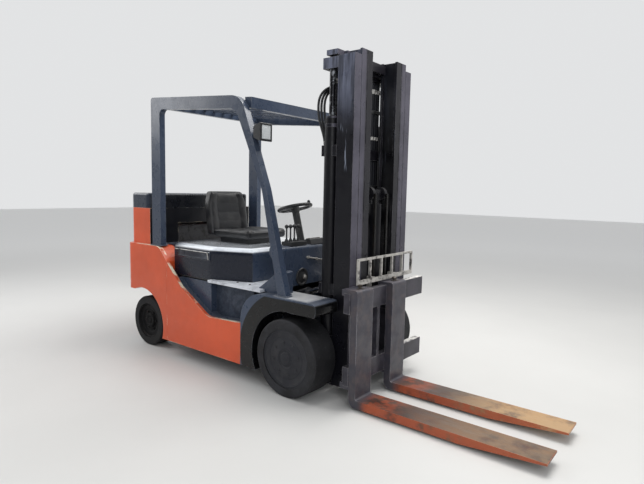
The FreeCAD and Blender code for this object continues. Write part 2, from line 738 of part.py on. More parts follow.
riser = body_half - d.riser_inset
inside = riser - d.plate
seam_x = -d.panel_seam
frame_top = d.floor_top - d.floor_thickness - d.rest_gap
plates = []
for name, side in SIDES:
    plates.append(box((seam_x + d.rest_gap, -d.fender_rear - 2), side_span(side, inside, riser),
                      (d.ground_gap, frame_top)))
bulkhead_x = (-d.hood_front - d.hood_skin, -d.hood_front)
plates.append(box(bulkhead_x, (-inside - 1, inside + 1), (d.ground_gap, frame_top)))
plates.append(box(bulkhead_x, (-d.hood_front_half + 12, d.hood_front_half - 12),
                  (d.ground_gap, d.hood_low - d.rest_gap)))
front_half = d.fender_inner - 5
plates.append(box((seam_x + 2, -d.fender_rear - 2), (-inside - 1, inside + 1),
                  (d.ground_gap, d.ground_gap + d.plate)))
plates.append(box((-d.fender_rear - 3, -d.frame_front), (-front_half, front_half),
                  (d.ground_gap, d.ground_gap + d.plate)))
plates.append(box((-d.frame_front - d.plate, -d.frame_front), (-front_half, front_half),
                  (d.ground_gap, d.firewall_top)))
for name, side in SIDES:
    plates.append(box((-d.fender_rear - 20, -d.frame_front), side_span(side, front_half - d.plate,
        front_half),
                      (d.ground_gap, d.firewall_top)))
    plates.append(box((-d.fender_rear - 20, -d.fender_rear - 2), side_span(side, front_half - d.plate, riser),
                      (d.ground_gap, frame_top)))
plates.append(box((seam_x - 18, seam_x + 3), (-d.bay_half + 2, d.bay_half - 2),
                  (d.ground_gap, tongue_top)))
plates.append(box((-bay_rear + 4, seam_x - 10), (-d.tongue_half, d.tongue_half),
                  (d.tongue_low, tongue_top)))
for start in (steer_x - pivot_half, steer_x + bracket_front):
    plates.append(box((start, start + d.bracket_thickness), (-d.bracket_half, d.bracket_half),
                      (d.ground_gap + 20, d.tongue_low + 10)))
eyes = []
for name, side in SIDES:
    for edge in (-1, 1):
        middle = d.tilt_half * side + (d.eye_width / 2 + 1 + d.lug_thickness / 2) * edge
        plates.append(box((-d.tilt_frame_back - 36, -d.frame_front),
                          (middle - d.lug_thickness / 2, middle + d.lug_thickness / 2),
                          (d.firewall_top - 120, d.firewall_top - 5)))
        eyes.append(rod("y", -d.tilt_frame_back, middle - d.lug_thickness / 2,
                        d.tilt_frame_height, d.tilt_eye / 2, d.lug_thickness))
        eyes.append(box((-d.tilt_frame_back - d.tilt_eye / 2, -d.tilt_frame_back + d.tilt_eye / 2),
                        (middle - d.lug_thickness / 2, middle + d.lug_thickness / 2),
                        (d.firewall_top - 20, d.tilt_frame_height)))
    eyes.append(rod("y", -d.tilt_frame_back, d.tilt_half * side - d.eye_width / 2 - 2,
                    d.tilt_frame_height, d.tilt_pin / 2, d.eye_width + 4))
pivot_hole = rod("x", steer_x - pivot_half - 1, 0, steer_height,
                 d.pivot_diameter / 2, pivot_half * 2 + 2)
hinge_x = -d.hood_rear - d.hinge_gap
hinges = []
for name, side in SIDES:
    low, high = side_span(side, d.hinge_half, d.hinge_half + 30)
    hinges.append(box((hinge_x - 18, hinge_x), (low, high), (tongue_top - 20, d.hinge_height)))
    hinges.append(rod("y", hinge_x, low, d.hinge_height, d.hinge_radius, high - low))
node(cut(fuse(*plates, *eyes, *hinges), pivot_hole), "frame")

# Side panels and the tanks behind them share one sweep line

sweep_rise = (d.seam_top - d.sweep_mid_height) / (d.panel_seam - d.sweep_mid)


def sweep(drop, rear, front, low):
    """The body's side from the counterweight's seam down to the step."""
    return [
        (-rear, low), (-front, low), (-front, d.step_height + 12 - drop),
        (-d.step_rear, d.step_height - 8 - drop, 160),
        (-d.sweep_mid, d.sweep_mid_height - drop),
        (-rear, d.sweep_mid_height + sweep_rise * (rear - d.sweep_mid) - drop),
    ]


for name, side in SIDES:
    low, high = side_span(side, body_half - d.panel_thickness, body_half)
    node(solid("side", low, high, sweep(zero, d.panel_seam - 2, d.fender_rear + 2, d.ground_gap)),
         "side_panel_" + name)
    low, high = side_span(side, riser, body_half - d.panel_thickness - d.rest_gap)
    tank = new_body()
    pad(tank, "side", low, high, sweep(d.tank_drop, d.tank_rear, d.fender_rear + 2, d.ground_gap))
    low, high = side_span(side, riser, riser + d.cover_thickness)
    pad(tank, "side", low, high, rectangle((-d.cover_rear, -d.hood_bend - 3), (d.step_height, d.cover_top)))
    node(tank, "tank_" + name)

# Front fenders

lip_low = axle_height + d.fender_radius - 3
fender_outline = [
    (-d.fender_rear + 1, d.ground_gap), (-d.fender_rear + 1, d.fender_top, 225),
    (d.fender_nose, d.fender_top, 34), (d.fender_nose, lip_low, 26), (0, lip_low), (0, d.ground_gap),
]
for name, side in SIDES:
    low, high = side_span(side, d.fender_inner, d.fender_outer)
    fender = new_body()
    pad(fender, "side", low, high, fender_outline)
    pocket(fender, "side", low, high,
           {"u": zero, "v": axle_height, "radius": d.fender_radius})
    node(fender, "fender_" + name)

# Floor plate: full width at the driver's feet, with a wedge beside the hood

floor_low = d.floor_top - d.floor_thickness
floor_gap = 6
floor_outline = [(-d.floor_front, -d.floor_half), (-d.floor_front, d.floor_half),
                 (-d.hood_bend, d.floor_half), (-d.hood_bend, d.hood_rear_half + floor_gap),
                 (-d.hood_front + floor_gap, d.hood_front_half + floor_gap),
                 (-d.hood_front + floor_gap, -d.hood_front_half - floor_gap),
                 (-d.hood_bend, -d.hood_rear_half - floor_gap), (-d.hood_bend, -d.floor_half)]
node(solid("plan", floor_low, d.floor_top, floor_outline), "floor_plate")

# Cowl in front of the driver's feet, with the instrument panel on top

cowl = new_body()
pad(cowl, "side", -d.cowl_half, d.cowl_half, [
    (-d.floor_front, d.floor_top), (-d.cowl_front, d.floor_top), (-d.cowl_front, d.cowl_top, 30),
    (-d.cowl_back - 60, d.cowl_top, 25), (-d.cowl_back - 60, d.cowl_top - 60, 20),
    (-d.cowl_back, d.cowl_top - d.cowl_slope, 30), (-d.cowl_back, d.floor_top + 40),
])
wings = []
wing_front = -d.pillar_foot_front - d.pillar_foot_depth
for name, side in SIDES:
    low, high = side_span(side, d.cowl_half - 5, d.guard_half - d.guard_rail - 2)
    wings.append(solid("side", low, high, [
        (-d.floor_front - d.wing_reach, d.floor_top + d.rest_gap), (-d.cowl_front + 60, d.wing_top, 30),
        (wing_front, d.wing_top, 14), (wing_front, d.fender_top + d.rest_gap),
        (-d.floor_front + d.rest_gap, d.fender_top + d.rest_gap),
        (-d.floor_front + d.rest_gap, d.floor_top + d.rest_gap),
    ]))
node(fuse(cowl, *wings), "front_cowl")
node(solid("side", -d.panel_half, d.panel_half, [
    (-d.cowl_back - 60, d.cowl_top), (-d.cowl_front - 10, d.cowl_top),
    (-d.cowl_front - 30, d.cowl_top + 45, 12), (-d.cowl_back - 50, d.cowl_top + 25, 8),
]), "instrument_panel")

# Steering column and wheel share one leaning axis

column_run = d.wheel_centre_back - d.column_foot_back
column_rise = d.wheel_centre_height - d.column_foot_height
lean = slope(column_rise, column_run)
column_length = reach(column_run, column_rise)
column = new_body()
pad(column, "plan", 0, column_length - 36 - d.rest_gap, {"u": zero, "v": zero,
    "radius": d.column_diameter / 2})
place(column, -d.column_foot_back, 0, d.column_foot_height, (0, 1, 0), -lean)
column_foot = box((-d.column_foot_back - 42, -d.floor_front - 3), (-48, 48),
                  (d.floor_top + d.rest_gap, d.column_foot_height))
node(fuse(column, column_foot), "steering_column")

grip = doc.addObject("Part::Torus", "Rim")
bind(grip, "Radius1", d.wheel_diameter / 2 - d.wheel_grip / 2)
bind(grip, "Radius2", d.wheel_grip / 2)
place(grip, 0, 0, 0)
spokes = [rod("z", 0, 0, -36, 34, 46)]
spokes.append(box((-12, 12), (-d.wheel_diameter / 2 + 16, d.wheel_diameter / 2 - 16), (-12, 0)))
spokes.append(box((-d.wheel_diameter / 2 + 16, 0), (-12, 12), (-12, 0)))
node(fuse(grip, *spokes), "steering_wheel", -d.wheel_centre_back, 0, d.wheel_centre_height,
     (0, 1, 0), -lean)

# Control levers on the cowl, to the right of the column

levers = [box((-d.cowl_back - 50, -d.cowl_front - 12), (-330, -150), (d.cowl_top, d.cowl_top + 30))]
for number in range(4):
    y = -172 - number * 45
    levers.append(rod("z", -d.cowl_back - 20, y, d.cowl_top + 28, 6, 110))
    ball = doc.addObject("Part::Sphere", "Knob")
    ball.Radius = 16
    place(ball, -d.cowl_back - 20, y, d.cowl_top + 146)
    levers.append(ball)
node(fuse(*levers), "control_levers")

pedal_arms = []
for y, wide in ((-250, 70), (-100, 90), (90, 80)):
    pad_piece = box((-d.cowl_back - 110, -d.cowl_back - 96), (y - wide / 2, y + wide / 2),
                    (d.floor_top + 60, d.floor_top + 150))
    arm_piece = box((-d.cowl_back - 98, -d.cowl_back), (y - 8, y + 8),
                    (d.floor_top + d.pedal_rise, d.floor_top + d.pedal_rise + d.pedal_thickness))
    pedal_arms.append(fuse(pad_piece, arm_piece))
node(together(*pedal_arms), "pedals")

# Engine, as one block on the frame's belly

node(solid("plan", d.ground_gap + d.plate, d.engine_high,
           rectangle((-d.engine_front - d.engine_length, -d.engine_front), (-d.engine_half, d.engine_half))),
     "engine")

# Hood: a shell over the engine, wider at the rear than at the driver's feet

def hood_plan(inset):
    return [
        (-d.hood_front - inset, -d.hood_front_half + inset),
        (-d.hood_front - inset, d.hood_front_half - inset),
        (-d.hood_bend, d.hood_rear_half - inset, 260),
        (-d.hood_rear + inset, d.hood_rear_half - inset),
        (-d.hood_rear + inset, -d.hood_rear_half + inset),
        (-d.hood_bend, -d.hood_rear_half + inset, 260),
    ]


hood = new_body()
pad(hood, "plan", d.hood_low, d.hood_top, hood_plan(zero))
rounded(hood, d.hood_shoulder, lambda m, e: near(m.z, d.hood_top) and m.x > -d.hood_rear.value + 1)
pocket(hood, "plan", d.hood_low, d.hood_top - d.hood_skin * 2, hood_plan(d.hood_skin))
lids = []
for name, side in SIDES:
    low, high = side_span(side, d.hinge_half + 32, d.hinge_half + 62)
    lids.append(rod("y", hinge_x, low, d.hinge_height, d.hinge_radius, high - low))
    lids.append(box((hinge_x - d.hinge_radius, -d.hood_rear + 2), (low, high),
                    (d.hinge_height - d.hinge_radius, d.hinge_height)))
node(fuse(hood, *lids), "hood")

rear_deck_x = (-d.block_front + d.rest_gap, -d.hood_rear - d.deck_gap)
node(solid("plan", d.hood_top - 60, d.hood_top - 36,
           rectangle(rear_deck_x, (-d.bay_half + 4, d.bay_half - 4))), "rear_deck")

# Seat on the hood

seat_low = d.hood_top + d.rest_gap
cushion_low = seat_low + d.seat_base_height
node(solid("plan", seat_low, cushion_low - d.rest_gap,
           rectangle((-d.seat_rear + 60, -d.seat_front - 50), (-d.seat_half + 60, d.seat_half - 60))),
     "seat_base")
cushion = solid("side", -d.seat_half, d.seat_half, [
    (-d.seat_rear, cushion_low), (-d.seat_front, cushion_low, 20),
    (-d.seat_front, cushion_low + d.cushion_height, 35), (-d.seat_rear,
    cushion_low + d.cushion_height - 25, 20)])
node(cushion, "seat_cushion")
back_low = cushion_low + 10
back_lean = 70
node(solid("side", -d.seat_half + 10, d.seat_half - 10, [
    (-d.seat_rear - d.rest_gap, back_low), (-d.seat_rear - back_lean, back_low + d.backrest_height, 40),
    (-d.seat_rear - back_lean - d.backrest_thickness, back_low + d.backrest_height, 40),
    (-d.seat_rear - d.backrest_thickness, back_low)]), "seat_back")

# Overhead guard: two bent side frames joined by headers and roof bars

guard_low = d.seam_height
foot = -d.pillar_foot_front
knee = -d.pillar_knee_front
front_top = -d.guard_front
post_front = -d.guard_rear + d.guard_post
roof_run = d.guard_rear - d.guard_front


def roof(x, drop):
    """A point of the falling roof, below its top line by the drop."""
    return (x, d.guard_top - d.guard_fall * ((x + d.guard_rear) / roof_run) - drop)


guard_side = [
    (foot, d.fender_top), (knee, d.pillar_knee_height, 500), roof(front_top, zero) + (170,),
    (-d.guard_rear, d.guard_top, 26), (-d.guard_rear, guard_low), (post_front, guard_low),
    roof(post_front, d.guard_depth) + (45,), roof(front_top - 55, d.guard_depth) + (110,),
    (knee - d.pillar_knee_depth, d.pillar_knee_height, 420), (foot - d.pillar_foot_depth, d.fender_top),
]
guard = []
rail_inner = d.guard_half - d.guard_rail
for name, side in SIDES:
    low, high = side_span(side, rail_inner, d.guard_half)
    guard.append(solid("side", low, high, guard_side))
node(together(*guard), "overhead_guard")


def roof_piece(low, high, rear, front, top, bottom):
    """A header or bar between two depths below the roof's top line."""
    return solid("side", low, high, [
        roof(rear, bottom), roof(front, bottom), roof(front, top), roof(rear, top)])


header_rear = -d.guard_rear + d.header_inset
header_front = front_top - d.visor_inset
header_top = d.guard_bar_drop - 8
headers = [roof_piece(-rail_inner, rail_inner, x, x + d.header_depth, header_top, d.guard_depth - 12)
           for x in (header_rear, header_front)]
node(together(*headers), "guard_headers")
bar_count = int(d.guard_bars.value)
roof_bars = []
for number in range(bar_count):
    middle = rail_inner * (2.0 * (number + 1) / (bar_count + 1) - 1)
    roof_bars.append(roof_piece(middle - d.guard_bar_width / 2, middle + d.guard_bar_width / 2,
                                header_rear + d.header_depth, header_front, d.guard_bar_drop,
                                d.guard_bar_drop + d.guard_bar_height))
node(together(*roof_bars), "guard_bars")

# Work lamps in front of the pillars, each on a plate at the pillar's inner side

lamps = []
lamp_low = d.lamp_height - d.lamp_tall / 2
lamp_front = d.lamp_depth - d.lamp_back
for name, side in SIDES:
    low, high = side_span(side, d.guard_half - d.lamp_width, d.guard_half)
    lamp = solid("side", low, high, [
        (-d.lamp_back, lamp_low + 28, 16), (lamp_front, lamp_low, 6),
        (lamp_front, lamp_low + d.lamp_tall, 6), (-d.lamp_back, lamp_low + d.lamp_tall - 28, 16)])
    plate = box((-d.lamp_back - 60, -d.lamp_back + 12),
                side_span(side, rail_inner - d.rest_gap - d.lamp_plate, rail_inner - d.rest_gap),
                (d.lamp_height - 25, d.lamp_height + 25))
    lamps.append(fuse(lamp, plate))
node(together(*lamps), "work_lamps")

# Mast stages, each a pair of rails joined by crossbars behind them

rail_front = d.mast_back + d.rail_depth
outer_face = d.mast_width / 2
outer_inner = outer_face - d.outer_rail_width
middle_outer = outer_inner - d.rail_gap
middle_inner = middle_outer - d.middle_rail_width
inner_outer = middle_inner - d.rail_gap
inner_inner = inner_outer - d.inner_rail_width
middle_bar_x = (d.mast_back - d.rail_gap - d.crossbar_depth, d.mast_back - d.rail_gap)
outer_bar_x = (middle_bar_x[0] - d.rail_gap - d.crossbar_depth, middle_bar_x[0] - d.rail_gap)
roller_x = d.mast_back + d.rail_depth / 2
roller_radius = d.rail_depth / 2 - d.rail_flange - d.roller_slack


def rail(side, inner, outer, web, low, high):
    """One rail: two flanges and a web whose inner face stands at a given Y."""
    inner, outer = size(inner), size(outer)
    back = d.mast_back
    front = rail_front
    outline = [(back, inner), (back + d.rail_flange, inner), (back + d.rail_flange, web),
               (front - d.rail_flange, web), (front - d.rail_flange, inner), (front, inner),
               (front, outer), (front - d.rail_flange, outer),
               (front - d.rail_flange, web + d.rail_web), (back + d.rail_flange, web + d.rail_web),
               (back + d.rail_flange, outer), (back, outer)]
    if size(web + d.rail_web).value >= outer.value - 0.01:
        outline = outline[:7] + outline[11:]
    outline = [(u, size(v) * side) for u, v in outline]
    return solid("plan", low, high, outline)


def roller(side, start, z):
    """A roller that stands out from a rail's web on its stub."""
    low, high = side_span(side, start, start + d.roller_width)
    return rod("y", roller_x, low, z, roller_radius, high - low)


lift_x = d.mast_back - d.lift_offset
lift_y = (outer_inner + outer_face) / 2
barrel_radius = d.lift_barrel / 2
block_back = lift_x - barrel_radius - d.clamp_wall

outer_rails = []
saddle_outer = tube + d.saddle_wall
for name, side in SIDES:
    low, high = side_span(side, outer_inner, outer_face)
    saddle = new_body()
    pad(saddle, "side", low, high, {"u": zero, "v": axle_height, "radius": saddle_outer})
    pad(saddle, "side", low, high, [
        (0, d.saddle_top - 170), (d.mast_back + 1, d.saddle_top - 260), (d.mast_back + 1, d.saddle_top),
        (60, d.saddle_top, 40), (0, axle_height + tube + 20)])
    span = side_span(side, outer_inner - 20, outer_face + 5)
    bore = rod("y", 0, span[0], axle_height, tube + d.saddle_slack, span[1] - span[0])
    stage_rail = rail(side, outer_inner, outer_face, outer_face - d.rail_web, d.mast_low, d.outer_top)
    sole = box((d.mast_back - 60, rail_front), (low, high), (d.mast_low, d.mast_low + 12))
    outer_rails.append(cut(fuse(stage_rail, saddle, sole), bore))
node(together(*outer_rails), "mast_outer")

# Crossbars behind the outer rails, with clamps round the lift cylinders. The
# lowest has the eyes of the tilt cylinders
clamp_bore = barrel_radius + d.rod_slack
outer_bars = []
for base, bore_radius in ((d.tilt_mast_height - 40, clamp_bore), (d.clamp_height, clamp_bore),
                          (d.outer_top - 80, d.lift_rod / 2 + 6)):
    bar = [box(outer_bar_x, (-outer_face, outer_face), (base, base + d.crossbar_height))]
    holes = []
    for name, side in SIDES:
        low, high = side_span(side, outer_inner, outer_face)
        bar.append(box((block_back, d.mast_back - d.rest_gap), (low, high), (base, base + d.crossbar_height)))
        holes.append(rod("z", lift_x, lift_y * side, base - 5, bore_radius, d.crossbar_height + 10))
    if not outer_bars:
        for name, side in SIDES:
            for edge in (-1, 1):
                middle = d.tilt_half * side + (d.eye_width / 2 + 1 + d.lug_thickness / 2) * edge
                bar.append(box((d.tilt_mast_front, outer_bar_x[0] + 2),
                               (middle - d.lug_thickness / 2, middle + d.lug_thickness / 2),
                               (d.tilt_mast_height - d.tilt_eye / 2, d.tilt_mast_height + d.tilt_eye / 2)))
                bar.append(rod("y", d.tilt_mast_front, middle - d.lug_thickness / 2,
                               d.tilt_mast_height, d.tilt_eye / 2, d.lug_thickness))
            bar.append(rod("y", d.tilt_mast_front, d.tilt_half * side - d.eye_width / 2 - 2,
                           d.tilt_mast_height, d.tilt_pin / 2, d.eye_width + 4))
    outer_bars.append(cut(fuse(*bar), together(*holes)))
outer_bars.append(box((d.mast_back - 60, d.mast_back - 42), (-outer_inner, outer_inner),
                      (d.mast_low, d.mast_low + 30)))
node(together(*outer_bars), "outer_crossbars")

# Hydraulic pipes behind the crossbars, three beside each lift cylinder

pipe_x = outer_bar_x[0] - d.rest_gap - d.pipe_diameter / 2
pipe_foot = d.tilt_mast_height - 40 + d.crossbar_height + d.rest_gap
pipe_head = d.outer_top - 80
pipes = []
for name, side in SIDES:
    bundle = []
    for number in range(3):
        bundle.append(rod("z", pipe_x, (d.pipe_inner + d.pipe_pitch * number) * side, pipe_foot + 10,
                          d.pipe_diameter / 2, pipe_head - pipe_foot + 10))
    low, high = side_span(side, d.pipe_inner - d.pipe_diameter / 2 - 4,
                          d.pipe_inner + d.pipe_pitch * 2 + d.pipe_diameter / 2 + 4)
    bundle.append(box((pipe_x - 18, outer_bar_x[1] - 8), (low, high), (pipe_foot + 8, pipe_foot + d.pipe_block)))
    bundle.append(box((outer_bar_x[0] + 1, outer_bar_x[1] - 8), (low, high), (pipe_foot, pipe_foot + 10)))
    bundle.append(box((pipe_x - 18, outer_bar_x[0] - d.rest_gap), (low, high),
                      (pipe_head, pipe_head + d.pipe_block)))
    pipes.append(fuse(*bundle))
node(together(*pipes), "mast_pipes")

cylinders = []
for name, side in SIDES:
    barrel = rod("z", lift_x, lift_y * side, d.saddle_top, barrel_radius, d.lift_top - d.saddle_top)
    bore = rod("z", lift_x, lift_y * side, d.saddle_top + 20, d.lift_rod / 2 + d.rod_slack,
               d.lift_top - d.saddle_top)
    cylinders.append(cut(barrel, bore))
node(together(*cylinders), "lift_cylinders")

middle_rails = []
middle_bars = []
rods = []
middle_web = (middle_inner + middle_outer) / 2 - d.rail_web / 2
top_bar = d.stage_top - 35
bar_bases = (d.stage_low + 10, d.middle_bar_low, top_bar - d.stage_bar_height - 10)
for name, side in SIDES:
    stage_rail = rail(side, middle_inner, middle_outer, middle_web, d.stage_low, d.stage_top)
    middle_rails.append(fuse(stage_rail, roller(side, middle_web + d.rail_web - 1, d.stage_low + 90)))
    rods.append(rod("z", lift_x, lift_y * side, d.saddle_top + 25, d.lift_rod / 2,
                    top_bar - d.saddle_top - 25))
node(together(*middle_rails), "mast_middle")
for base in bar_bases:
    bar = [box(middle_bar_x, (-middle_outer, middle_outer),
               (base, base + d.stage_bar_height))]
    for name, side in SIDES:
        bar.append(box((middle_bar_x[0], d.mast_back), side_span(side, middle_inner, middle_outer),
                       (base, base + d.stage_bar_height)))
    middle_bars.append(fuse(*bar))
yoke = [box((lift_x - 30, d.mast_back - d.rail_gap), (-outer_face, outer_face), (top_bar, d.stage_top))]
for name, side in SIDES:
    yoke.append(box((d.mast_back - d.rail_gap - 2, d.mast_back), side_span(side, middle_inner, middle_outer),
                    (top_bar, d.stage_top)))
middle_bars.append(fuse(*yoke))
node(together(*middle_bars), "middle_crossbars")
node(together(*rods), "lift_rods")

inner_rails = []
inner_web = (inner_inner + inner_outer) / 2 - d.rail_web / 2
for name, side in SIDES:
    stage_rail = rail(side, inner_inner, inner_outer, inner_web, d.stage_low, d.stage_top)
    inner_rails.append(fuse(stage_rail, rod(
        "y", roller_x, side_span(side, inner_web + d.rail_web - 1, inner_outer + 18)[0],
        d.stage_low + 200, roller_radius, inner_outer + 18 - inner_web - d.rail_web + 1)))
node(together(*inner_rails), "mast_inner")
inner_bars = []
for base, deep in ((d.stage_low, 130), (d.inner_bar_low, 13), (d.stage_top - d.inner_bar_drop, 40)):
    inner_bars.append(box((d.mast_back, d.mast_back + deep), (-inner_inner, inner_inner),
                          (base, base + d.stage_bar_height)))
node(together(*inner_bars), "inner_crossbars")

free_low = d.stage_low + d.stage_bar_height
free_barrel = cut(rod("z", d.free_centre, 0, free_low, d.free_barrel / 2, d.free_top - free_low),
                  rod("z", d.free_centre, 0, free_low + 20, d.free_rod / 2 + d.rod_slack,
                      d.free_top - free_low))
node(free_barrel, "free_lift_cylinder")

# Crosshead on the free-lift rod, with a sheave for each chain

head = [rod("z", d.free_centre, 0, free_low + 30, d.free_rod / 2, d.sheave_height - free_low - 20),
        box((d.free_centre - 24, d.free_centre + 24), (-34, 34),
            (d.sheave_height - 45, d.sheave_height + 30)),
        rod("y", d.free_centre, -d.sheave_half - 20, d.sheave_height, 14, d.sheave_half * 2 + 40)]
sheave_radius = d.sheave_diameter / 2 - d.chain_thickness / 2
for name, side in SIDES:
    low = d.sheave_half * side - d.chain_width / 2 - 5
    head.append(rod("y", d.free_centre, low, d.sheave_height, sheave_radius, d.chain_width + 10))
node(fuse(*head), "free_lift_head")

# Leaf chains: up from the inner stage, over the sheaves and down to the carriage

chain_front = d.free_centre + d.sheave_diameter / 2
chain_back = d.free_centre - d.sheave_diameter / 2
chain_low = d.bracket_top - 60
chains = []
for name, side in SIDES:
    low = d.sheave_half * side - d.chain_width / 2
    chains.append(box((chain_front - d.chain_thickness / 2, chain_front + d.chain_thickness / 2),
                      (low, low + d.chain_width), (chain_low, d.sheave_height)))
node(together(*chains), "carriage_chains")

# Carriage: two fork bars on side plates that run on rollers in the inner stage

plate_outer = inner_inner - d.carriage_gap
plate_inner = plate_outer - d.bracket_plate
bar_front = d.carriage_back + d.bar_thickness
carriage = []
for name, side in SIDES:
    low, high = side_span(side, plate_inner, plate_outer)
    carriage.append(box((d.mast_back + 45, d.carriage_back + 1), (low, high),
                        (d.lower_bar_low + d.hook_drop + 10, d.bracket_top)))
    for z in (d.stage_low + 140, d.bracket_top - 70):
        low, high = side_span(side, plate_outer - 1, inner_web - 3)
        carriage.append(rod("y", roller_x, low, z, roller_radius, high - low))
    carriage.append(box((chain_front - 16, d.carriage_back + 1),
                        side_span(side, d.sheave_half - 20, plate_inner + 1),
                        (chain_low - 60, chain_low)))
carriage_half = d.carriage_width / 2
upper_low = d.upper_bar_top - d.upper_bar_height
carriage.append(box((d.carriage_back, bar_front), (-carriage_half, carriage_half),
                    (d.lower_bar_low, d.lower_bar_low + d.lower_bar_height)))
carriage.append(box((d.carriage_back, bar_front), (-carriage_half, carriage_half),
                    (upper_low, d.upper_bar_top)))
for y in (-plate_outer, plate_inner):
    carriage.append(box((d.carriage_back, bar_front), (y, y + d.bracket_plate),
                        (d.lower_bar_low, d.upper_bar_top)))
node(fuse(*carriage), "carriage")

backrest = []
backrest_x = (d.carriage_back + 6, d.carriage_back + 6 + d.backrest_bar)
hook_clear = d.upper_bar_top + d.fork_slack + d.hook_depth + 12
step = (d.backrest_half * 2 - d.backrest_bar) / (d.backrest_bars.value - 1)
for number in range(int(d.backrest_bars.value)):
    y = -d.backrest_half + step * number
    backrest.append(box(backrest_x, (y, y + d.backrest_bar),
                        (hook_clear, d.backrest_top)))
backrest.append(box(backrest_x, (-d.backrest_half, d.backrest_half),
                    (d.backrest_top - d.backrest_bar, d.backrest_top)))
backrest.append(box(backrest_x, (-d.backrest_half, d.backrest_half),
                    (hook_clear, hook_clear + 30)))
arm_x = d.carriage_back - d.fork_slack - d.hook_drop - d.rail_gap - 28
for y in (-plate_outer, plate_inner):
    backrest.append(box((arm_x, arm_x + 28), (y, y + d.bracket_plate),
                        (d.bracket_top + d.rest_gap, hook_clear + 30)))
    backrest.append(box((arm_x, backrest_x[0] + 2), (y, y + d.bracket_plate), (hook_clear, hook_clear + 30)))
node(fuse(*backrest), "load_backrest")

# Forks hang on the bars by an upper and a lower hook

shank_back = fork_face - d.fork_thickness
blade_top = d.fork_low + d.fork_thickness
hook_back = d.carriage_back - d.fork_slack
hook_top = d.upper_bar_top + d.fork_slack + d.hook_depth
for name, centre in (("left", d.left_fork), ("right", d.right_fork)):
    fork = solid("side", centre - d.fork_width / 2, centre + d.fork_width / 2, [
        (shank_back, d.fork_low, 50), (fork_face + d.fork_length * 0.6, d.fork_low),
        (truck_front, blade_top - d.fork_tip), (truck_front, blade_top),
        (fork_face, blade_top, 14), (fork_face, hook_top, 20), (hook_back - d.hook_drop, hook_top),
        (hook_back - d.hook_drop, d.upper_bar_top - d.hook_drop), (hook_back, d.upper_bar_top - d.hook_drop),
        (hook_back, d.upper_bar_top + d.fork_slack), (shank_back, d.upper_bar_top + d.fork_slack),
        (shank_back, d.lower_bar_low - d.fork_slack), (hook_back, d.lower_bar_low - d.fork_slack),
        (hook_back, d.lower_bar_low + d.hook_drop), (hook_back - d.hook_drop, d.lower_bar_low + d.hook_drop),
        (hook_back - d.hook_drop, d.lower_bar_low - d.hook_depth),
        (shank_back, d.lower_bar_low - d.hook_depth),
    ])
    node(fork, "fork_" + name)

# Tilt cylinders between the frame and the mast

tilt_run = d.tilt_frame_back + d.tilt_mast_front
tilt_rise = d.tilt_mast_height - d.tilt_frame_height
tilt_angle = slope(tilt_run, tilt_rise)
tilt_length = reach(tilt_run, tilt_rise)
neck = d.tilt_eye / 2 + 10
barrels = []
tilt_rods = []
for name, side in SIDES:
    y = d.tilt_half * side
    eye = cut(rod("y", 0, y - d.eye_width / 2, 0, d.tilt_eye / 2, d.eye_width),
              rod("y", 0, y - d.eye_width / 2 - 1, 0, d.tilt_pin / 2 + d.pin_slack, d.eye_width + 2))
    shell = cut(rod("x", neck, y, 0, d.tilt_barrel / 2, d.tilt_barrel_length - neck),
                rod("x", neck + 20, y, 0, d.tilt_rod / 2 + d.rod_slack, d.tilt_barrel_length))
    throat = rod("x", d.tilt_eye / 2 - 6, y, 0, d.eye_width / 2 - 1, neck + 8 - d.tilt_eye / 2)
    barrels.append(fuse(eye, throat, shell))
    far = tilt_length
    rod_eye = rod("y", far, y - d.eye_width / 2, 0, d.tilt_eye / 2, d.eye_width)
    stem = rod("x", 160, y, 0, d.tilt_rod / 2, far - 160 - 10)
    hole = rod("y", far, y - d.eye_width / 2 - 1, 0, d.tilt_pin / 2 + d.drift_slack, d.eye_width + 2)
    tilt_rods.append(cut(fuse(stem, rod_eye), hole))
node(together(*barrels), "tilt_barrels", -d.tilt_frame_back, 0, d.tilt_frame_height, (0, 1, 0), -tilt_angle)
node(together(*tilt_rods), "tilt_rods", -d.tilt_frame_back, 0, d.tilt_frame_height, (0, 1, 0), -tilt_angle)

doc.recompute()
faults = []
for thing in doc.Objects:
    if "Invalid" in thing.State or "Error" in thing.State:
        faults.append("%s %s %s" % (thing.Name, thing.Label, thing.State))
for piece in nodes:
    if piece.Shape.isNull() or not piece.Shape.isValid():
        faults.append("%s has no valid shape" % piece.Label)
if faults:
    raise RuntimeError("\n".join(faults))
for piece in nodes:
    piece.Shape.exportStep("parts/%s.step" % piece.Label)
print("%d pieces" % len(nodes))
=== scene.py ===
"""Dresses the counterbalance lift truck: finishes for its solids, the pieces too fine or too soft for
them, and the studio."""

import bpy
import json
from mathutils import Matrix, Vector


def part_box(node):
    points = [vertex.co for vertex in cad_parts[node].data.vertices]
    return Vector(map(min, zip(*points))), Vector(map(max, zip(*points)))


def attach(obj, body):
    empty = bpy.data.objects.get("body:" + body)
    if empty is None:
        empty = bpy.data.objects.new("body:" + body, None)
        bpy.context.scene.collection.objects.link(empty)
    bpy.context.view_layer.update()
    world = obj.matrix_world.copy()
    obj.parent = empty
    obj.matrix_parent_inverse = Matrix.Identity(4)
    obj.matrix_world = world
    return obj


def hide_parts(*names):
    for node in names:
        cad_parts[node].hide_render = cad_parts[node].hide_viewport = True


bl_info = {
    "name": "Lift truck dressing",
    "version": (1, 0, 0),
    "blender": (4, 5, 0),
    "location": "View3D > Sidebar > Lift truck",
    "description": "Finishes, trim, padding and studio for a counterbalance lift truck",
    "category": "Object",
}

import json
import math

import bmesh
import bpy
from mathutils import Matrix, Vector

